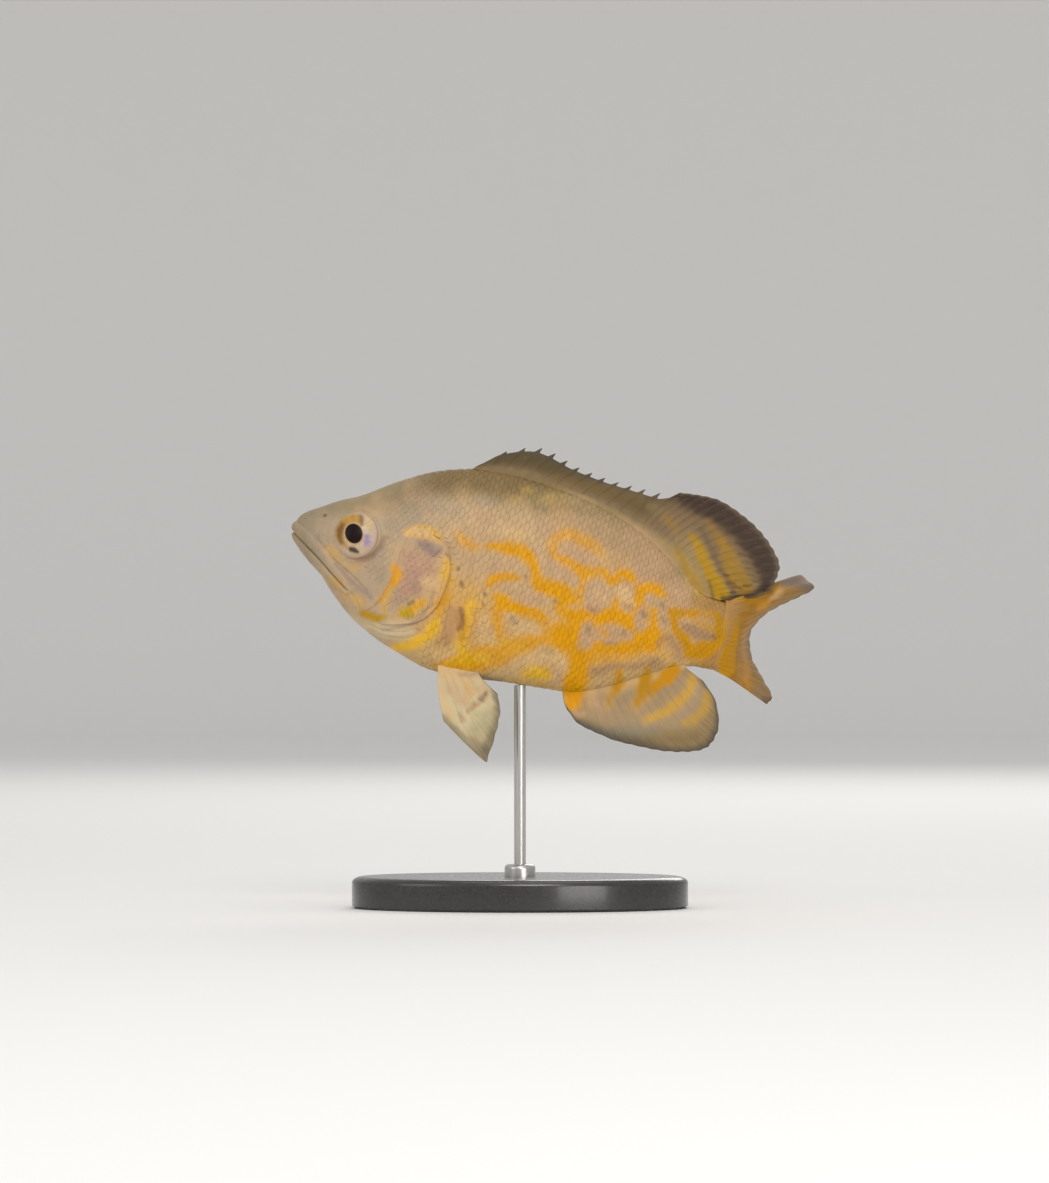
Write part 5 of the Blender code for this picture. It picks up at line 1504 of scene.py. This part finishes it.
eyeForm = {
    "pupilAt": (-0.0028, -0.0007),  # from the eye's middle, in the side view
    "pupil": (0.0196, 0.0237),  # half width and half height
    "pupilTurn": 0.62,  # lean of its long axis towards the snout
    "ring": 0.0040,  # pale rim of the pupil
    "bulge": 0.0012,  # how far the ball stands up over the pupil
    "opening": math.radians(112),  # how far round from its middle the ball is made
    "lidRadius": 0.0522,
    "lidThick": 0.0034,
    "lidRows": 20,
    "rows": 130,
    "around": 250,
}
eyeTones = {
    "irisBlack": (26, 9, 8), "irisWhite": (188, 165, 140), "irisGold": (166, 124, 52),
    "irisBrown": (110, 74, 28), "irisOrange": (182, 134, 56), "irisSmoke": (106, 82, 60),
    "irisCream": (196, 168, 122), "irisPink": (192, 160, 150), "irisLilac": (140, 120, 162),
    "irisRing": (180, 151, 104), "irisSpot": (62, 38, 22),
}
palette.update({name: linearColour(colour) for name, colour in eyeTones.items()})
irisMarks = [
    ("irisGold", 0.92, 7, [(347, 548, 1.4), (341.5, 541, 4), (340.5, 531, 6.4), (343, 522, 6.4),
        (350, 517.5, 6), (358, 518, 5)]),
    ("irisBrown", 0.85, 6, [(342, 544, 1), (340.5, 537, 2.6), (341, 530, 3.4), (343, 524, 2.6)]),
    ("irisOrange", 0.86, 6, [(345, 520, 3), (352, 519, 3.6), (358, 520, 3.4), (361, 525, 2)]),
    ("irisSmoke", 0.76, 4.4, [(361, 515, 1.8), (362.6, 520, 2.6), (362.5, 525, 1.8)]),
    ("irisCream", 0.90, 5, [(367, 517, 3), (369, 524, 4), (371, 530, 3)]),
    ("irisPink", 0.75, 4, [(376, 530, 2), (377, 539, 2.6), (373, 548, 2.6)]),
    ("irisLilac", 0.86, 6.4, [(368.2, 538, 2.4), (369.2, 543, 3.4), (367.6, 547, 2)]),
    ("irisWhite", 0.80, 4, [(360, 551, 2.6), (368, 551, 2.6)]),
    ("irisCream", 0.60, 3, [(348, 543, 2), (354, 546, 2)]),
    ("irisSpot", 0.94, 3.4, [(351, 550.4, 2.4), (354.4, 551.6, 2.8), (357.4, 552.6, 1.6)]),
]


def eyeBasis(side):
    # the ball's centre and three directions: out of the head, rearwards and up
    along, up = (np.array([value]) for value in faceForm["eyeAt"])
    lifts = [np.array([lift - faceForm["eyeSunk"]]) for lift in (0, 0.01)]
    low, high = (toWorld(onFlank(along, up, side, lift))[0] for lift in lifts)
    out = (high - low) / np.linalg.norm(high - low)
    rear = toWorld((1.0, 0.0, 0.0)) - toWorld((0.0, 0.0, 0.0))
    rear -= out * (rear @ out)
    rear /= np.linalg.norm(rear)
    over = np.cross(out, rear)
    return low, out, rear, over * np.sign(over[2])


def pupilReach(x, y):
    # 1 at the rim of the pupil, a leaning oval
    lean = eyeForm["pupilTurn"]
    x, y = x - eyeForm["pupilAt"][0], y - eyeForm["pupilAt"][1]
    across, tall = x * math.cos(lean) + y * math.sin(lean), y * math.cos(lean) - x * math.sin(lean)
    return np.hypot(across / eyeForm["pupil"][0], tall / eyeForm["pupil"][1])


def irisColour(x, y):
    # the colour and how wet it is; x runs rearwards and y up from the eye's middle
    along, up = faceForm["eyeAt"][0] + x, faceForm["eyeAt"][1] + y
    spots = viewSpot(np.stack([along, up, np.full(len(x), 0.08)], axis=1))
    turn = np.arctan2(y - eyeForm["pupilAt"][1], x - eyeForm["pupilAt"][0])
    reach = pupilReach(x, y) - 1
    colour = paint(plainCoat("irisWhite", x), spots, irisMarks, 71, 0.35)
    fibres = wander(np.stack([np.cos(turn) * 11, np.sin(turn) * 11, reach * 1.6], axis=1), 1.0, 73)
    rim = np.abs(reach * 0.02 - 0.4 * eyeForm["ring"]) / eyeForm["ring"]
    edge = np.hypot(x, y) / eyeForm["lidRadius"]
    colour = layered(
        colour * (1 + 0.10 * fibres)[:, None],
        ("irisRing", 0.75 * ease(1.1 - 1.4 * rim)),
        ("face", 0.70 * ease((edge - 0.84) / 0.12)),
        ("irisBlack", ease(0.5 - reach / 0.10)),
    )
    return colour, ease(reach / 0.1)


def eyeMaterial(name):
    # wet over the iris, with the shine held back over the pupil so that it stays black
    made, tree, shader = newMaterial(name)
    coat = keptValue(tree, "coat", "Color")
    blotches = [("Blotch Size", 900.0), ("Speck Size", 4200.0), ("Depth", 0.18)]
    mottled = placeGroup(tree, "mottle", [("Colour", coat), *blotches])
    film = placeGroup(tree, "slime", [("Grain", 3000.0), ("Dry", 0.46), ("Wet", 0.30)])
    feed(shader, [
        ("Base Color", mottled["Colour"]), ("Roughness", film["Roughness"]),
        ("Coat Weight", spanned(tree, keptValue(tree, "film"), 0.10, 0.35)), ("Specular IOR Level", 0.12),
        ("Coat Roughness", 0.04), ("Coat IOR", 1.40),
    ])
    return made


def makeEyeBall(side, word, turn):
    centre, out, rear, over = eyeBasis(side)
    tilt = np.linspace(0, 1, eyeForm["rows"]) ** 0.9 * eyeForm["opening"]
    s, t = np.meshgrid(tilt, turn, indexing="ij")
    flat = faceForm["eyeRadius"] * np.sin(s)
    x, y = flat * np.cos(t), flat * np.sin(t)
    tall = faceForm["eyeDepth"] * np.cos(s) + eyeForm["bulge"] * ease((1.1 - pupilReach(x, y)) / 0.3)
    points = centre + fish["length"] * (out * tall[..., None] + rear * x[..., None] + over * y[..., None])
    points = np.concatenate([points.reshape(-1, 3), [centre + fish["length"] * out * tall[-1, 0]]])
    ring = s.size - len(turn) + np.arange(len(turn))
    cap = np.stack([ring, np.roll(ring, -1), np.full(len(ring), s.size)], axis=1)
    triangles = np.concatenate([splitQuads(gridFaces(*s.shape, wrap=True)), cap])
    triangles = facing(triangles, np.dot(np.cross(rear, over), out) > 0)
    colour, film = irisColour(x.ravel(), y.ravel())
    colour, film = np.concatenate([colour, [palette["irisBrown"]]]), np.append(film, 1.0)
    material, solid = eyeMaterial(f"eye{word}"), solidName(f"eye{word}")
    makePiece(f"eyeBall{word}", points, triangles, material, "eye", (solid,), colour, {"film": film})


def makeEyeFold(side, word, turn):
    # the fold of skin round the eye, a tube closed on itself
    rows, radius, thick = eyeForm["lidRows"], eyeForm["lidRadius"], eyeForm["lidThick"]
    t, k = np.meshgrid(turn, np.linspace(0, 2 * math.pi, rows, endpoint=False), indexing="ij")
    lid = radius + thick * np.cos(k)
    along, up = faceForm["eyeAt"][0] + lid * np.cos(t), faceForm["eyeAt"][1] + lid * np.sin(t)
    points = onFlank(along, up, side, thick * 0.62 * np.sin(k) + 0.0004).reshape(-1, 3)
    inner = ease((radius - lid.ravel()) / 0.003)
    lower = ease((0.5 - np.sin(t.ravel() - 0.6)) / 1.2)  # the shade lies under and behind the eye
    colour = layered(bodyColour(points, farSide=side < 0), ("violet", 0.55 * inner * lower))
    here = np.arange(rows)
    after, last = (here + 1) % rows, (len(turn) - 1) * rows
    seam = np.stack([last + here, last + after, after, here], axis=1)
    quads = np.concatenate([gridFaces(*t.shape, wrap=True), seam])
    material = coatMaterial(f"eyeFoldSkin{word}", skinFinish)
    makePiece(f"eyeFold{word}", toWorld(points), facing(quads, side < 0), material, "skin", (), colour)


for side, word in flanks:
    eyeTurn = np.linspace(0, 2 * math.pi, eyeForm["around"], endpoint=False)
    makeEyeBall(side, word, eyeTurn)
    makeEyeFold(side, word, eyeTurn)
print("eyes ready")

# Stand

standForm = {  # metres
    "length": 0.074, "width": 0.046, "height": 0.007, "bevel": 0.0015, "sides": 192,
    "rodRadius": 0.0013, "rodSides": 48, "collarRadius": 0.0034, "collarHeight": 0.0024, "collarSides": 64,
    "gap": 0.0003, "round": 0.38,  # share of the collar's height that is rounded off
}


def quarterTurn(steps):
    return [math.pi / 2 * step / steps for step in range(1, steps + 1)]


def turnedForm(profile, sides, stretch=1.0):
    # points and faces turned about the upright axis from (radius, height) pairs
    profile = np.array(profile)
    turn = np.linspace(0, 2 * math.pi, sides, endpoint=False)
    radius, angle = np.meshgrid(profile[:, 0], turn, indexing="ij")
    height = np.broadcast_to(profile[:, 1][:, None], radius.shape)
    points = np.stack([radius * stretch * np.cos(angle), radius * np.sin(angle), height], axis=-1)
    return points.reshape(-1, 3), gridFaces(*radius.shape, wrap=True)


def makeTurned(name, profile, sides, material, slot, stretch=1.0):
    # a turned piece with closed ends and crisp edges
    piece = makePiece(name, *turnedForm(profile, sides, stretch), material, slot, (solidName(name),))
    shape = bmesh.new()
    shape.from_mesh(piece.data)
    bmesh.ops.holes_fill(shape, edges=[edge for edge in shape.edges if edge.is_boundary], sides=0)
    bmesh.ops.recalc_face_normals(shape, faces=shape.faces)
    shape.to_mesh(piece.data)
    shape.free()
    piece.data.set_sharp_from_angle(angle=math.radians(40))


def lacquerMaterial():
    made, tree, shader = newMaterial("blackLacquer")
    grain = noise(tree, ownPlace(tree), 900.0, 6.0, Roughness=0.6)
    tone = addNode(tree, "ValToRGB", [("Fac", grain)])
    tone.color_ramp.elements[0].color = (0.012, 0.011, 0.011, 1)
    tone.color_ramp.elements[1].color = (0.030, 0.028, 0.026, 1)
    feed(shader, [
        ("Base Color", tone.outputs["Color"]), ("Roughness", spanned(tree, grain, 0.20, 0.36)),
        ("Normal", bumped(tree, grain, 0.00002, 0.5)), ("Coat Weight", 0.5), ("Coat Roughness", 0.12),
    ])
    return made


def steelMaterial():
    made, tree, shader = newMaterial("brushedSteel")
    stretched = addNode(tree, "Mapping", [("Vector", ownPlace(tree)), ("Scale", (4000.0, 4000.0, 160.0))])
    lines = noise(tree, stretched.outputs[0], 1.0, 3.0)
    feed(shader, [
        ("Base Color", (0.55, 0.54, 0.52, 1)), ("Metallic", 1.0),
        ("Roughness", spanned(tree, lines, 0.18, 0.40)), ("Normal", bumped(tree, lines, 0.00001, 0.4)),
    ])
    return made


def makeStand():
    half, height, bevel = standForm["width"] / 2, standForm["height"], standForm["bevel"]
    profile = [(half * 0.02, 0.0), (half * 0.6, 0.0), (half - bevel * 0.4, 0.0), (half, bevel * 0.4)]
    profile.append((half, height - bevel))
    profile += [
        (half - bevel + bevel * math.cos(turn), height - bevel + bevel * math.sin(turn))
        for turn in quarterTurn(8)
    ]
    profile += [(half * 0.6, height), (half * 0.02, height)]
    stretch = standForm["length"] / standForm["width"]
    makeTurned("standBase", profile, standForm["sides"], lacquerMaterial(), "stand_base", stretch)
    steel = steelMaterial()
    rise, outer = standForm["collarHeight"] + standForm["gap"], standForm["collarRadius"]
    rod, axis, curve = standForm["rodRadius"], 0.0002, standForm["round"]
    collar = [(axis, height), (outer, height), (outer, height + rise * (1 - curve))]
    collar += [
        (outer - rise * curve * (1 - math.cos(turn)), height + rise * (1 - curve + curve * math.sin(turn)))
        for turn in quarterTurn(6)
    ]
    collar += [(rod * 1.15, height + rise), (axis, height + rise)]
    makeTurned("standCollar", collar, standForm["collarSides"], steel, "stand_rod")
    top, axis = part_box("stand_rod")[1][2], 0.0001
    profile = [(axis, height), (rod, height), (rod, (height + top) / 2), (rod, top - 0.0001), (axis, top)]
    makeTurned("standRod", profile, standForm["rodSides"], steel, "stand_rod")


makeStand()
print("stand ready")

# Stage, lights and camera

stageForm = {  # metres: radius of the floor, radius of its bent rim and height of the wall
    "floor": 1.75, "bend": 0.40, "tall": 0.95, "sides": 96,
    "paper": (0.80, 0.79, 0.77, 1), "air": (0.88, 0.88, 0.89, 1), "glow": 0.72,
}
lightForm = [
    # name, place, aim, size, power, colour
    ("keyLight", (0.10, -0.95, 0.72), (0.0, 0.0, 0.06), 0.50, 3.6, (1.0, 0.985, 0.96)),
    ("lowLight", (0.55, -1.00, 0.10), (0.0, 0.0, 0.06), 0.50, 2.6, (1.0, 0.985, 0.96)),
    ("sideLight", (-0.80, -0.60, 0.45), (0.0, 0.0, 0.06), 0.60, 1.2, (0.98, 0.99, 1.0)),
    ("topLight", (0.05, -0.05, 0.85), (0.0, 0.0, 0.06), 0.60, 1.0, (1.0, 0.99, 0.97)),
    ("backLight", (0.20, 0.95, 0.60), (0.0, 0.0, 0.05), 0.60, 2.5, (1.0, 0.985, 0.96)),
]


def makeStage():
    # a round floor whose rim bends up into a low wall
    floor, bend = stageForm["floor"], stageForm["bend"]
    profile = [(0.002, 0.0), (floor / 3, 0.0), (floor, 0.0)]
    profile += [(floor + bend * math.sin(turn), bend * (1 - math.cos(turn))) for turn in quarterTurn(24)]
    profile.append((floor + bend, stageForm["tall"]))
    points, faces = turnedForm(profile, stageForm["sides"])
    mesh = bpy.data.meshes.new("backdrop")
    mesh.from_pydata(points.tolist(), [], faces[:, ::-1].tolist() + [list(range(stageForm["sides"]))])
    mesh.shade_smooth()
    made, tree, shader = newMaterial("palePaper")
    grain = noise(tree, ownPlace(tree), 1400.0, 4.0)
    feed(shader, [
        ("Base Color", stageForm["paper"]), ("Roughness", 0.85),
        ("Normal", bumped(tree, grain, 0.00005, 0.3)),
    ])
    mesh.materials.append(made)
    backdrop = addObject("backdrop", mesh)


def aim(thing, target):
    way = np.array(target) - np.array(thing.location)
    tilt, turn = math.atan2(math.hypot(way[0], way[1]), -way[2]), math.atan2(way[1], way[0]) - math.pi / 2
    thing.rotation_euler = (tilt, 0.0, turn)


def makeLights():
    for name, place, target, size, power, colour in lightForm:
        data = bpy.data.lights.new(name, "AREA")
        data.shape = "DISK"
        data.size, data.energy, data.color = size, power, colour
        lamp = addObject(name, data)
        lamp.location = place
        aim(lamp, target)
    world = bpy.data.worlds.new("studio")
    world.use_nodes = True
    feed(world.node_tree.nodes["Background"], [("Color", stageForm["air"]), ("Strength", stageForm["glow"])])
    bpy.context.scene.world = world
    bpy.context.scene.view_settings.view_transform = "Standard"


def makeCamera():
    (wide, high), (footX, footZ) = cameraView["size"], cameraView["origin"]
    size, far = cameraView["pointSize"], cameraView["distance"]
    data = bpy.data.cameras.new("camera")
    data.sensor_width = 36.0
    data.lens = data.sensor_width * far / (high * size)
    camera = addObject("camera", data)
    camera.location = ((wide / 2 - footX) * size, -far, (footZ - high / 2) * size)
    camera.rotation_euler = (math.pi / 2, 0.0, 0.0)
    bpy.context.scene.camera = camera


makeStage()
makeLights()
makeCamera()
print("stage ready")
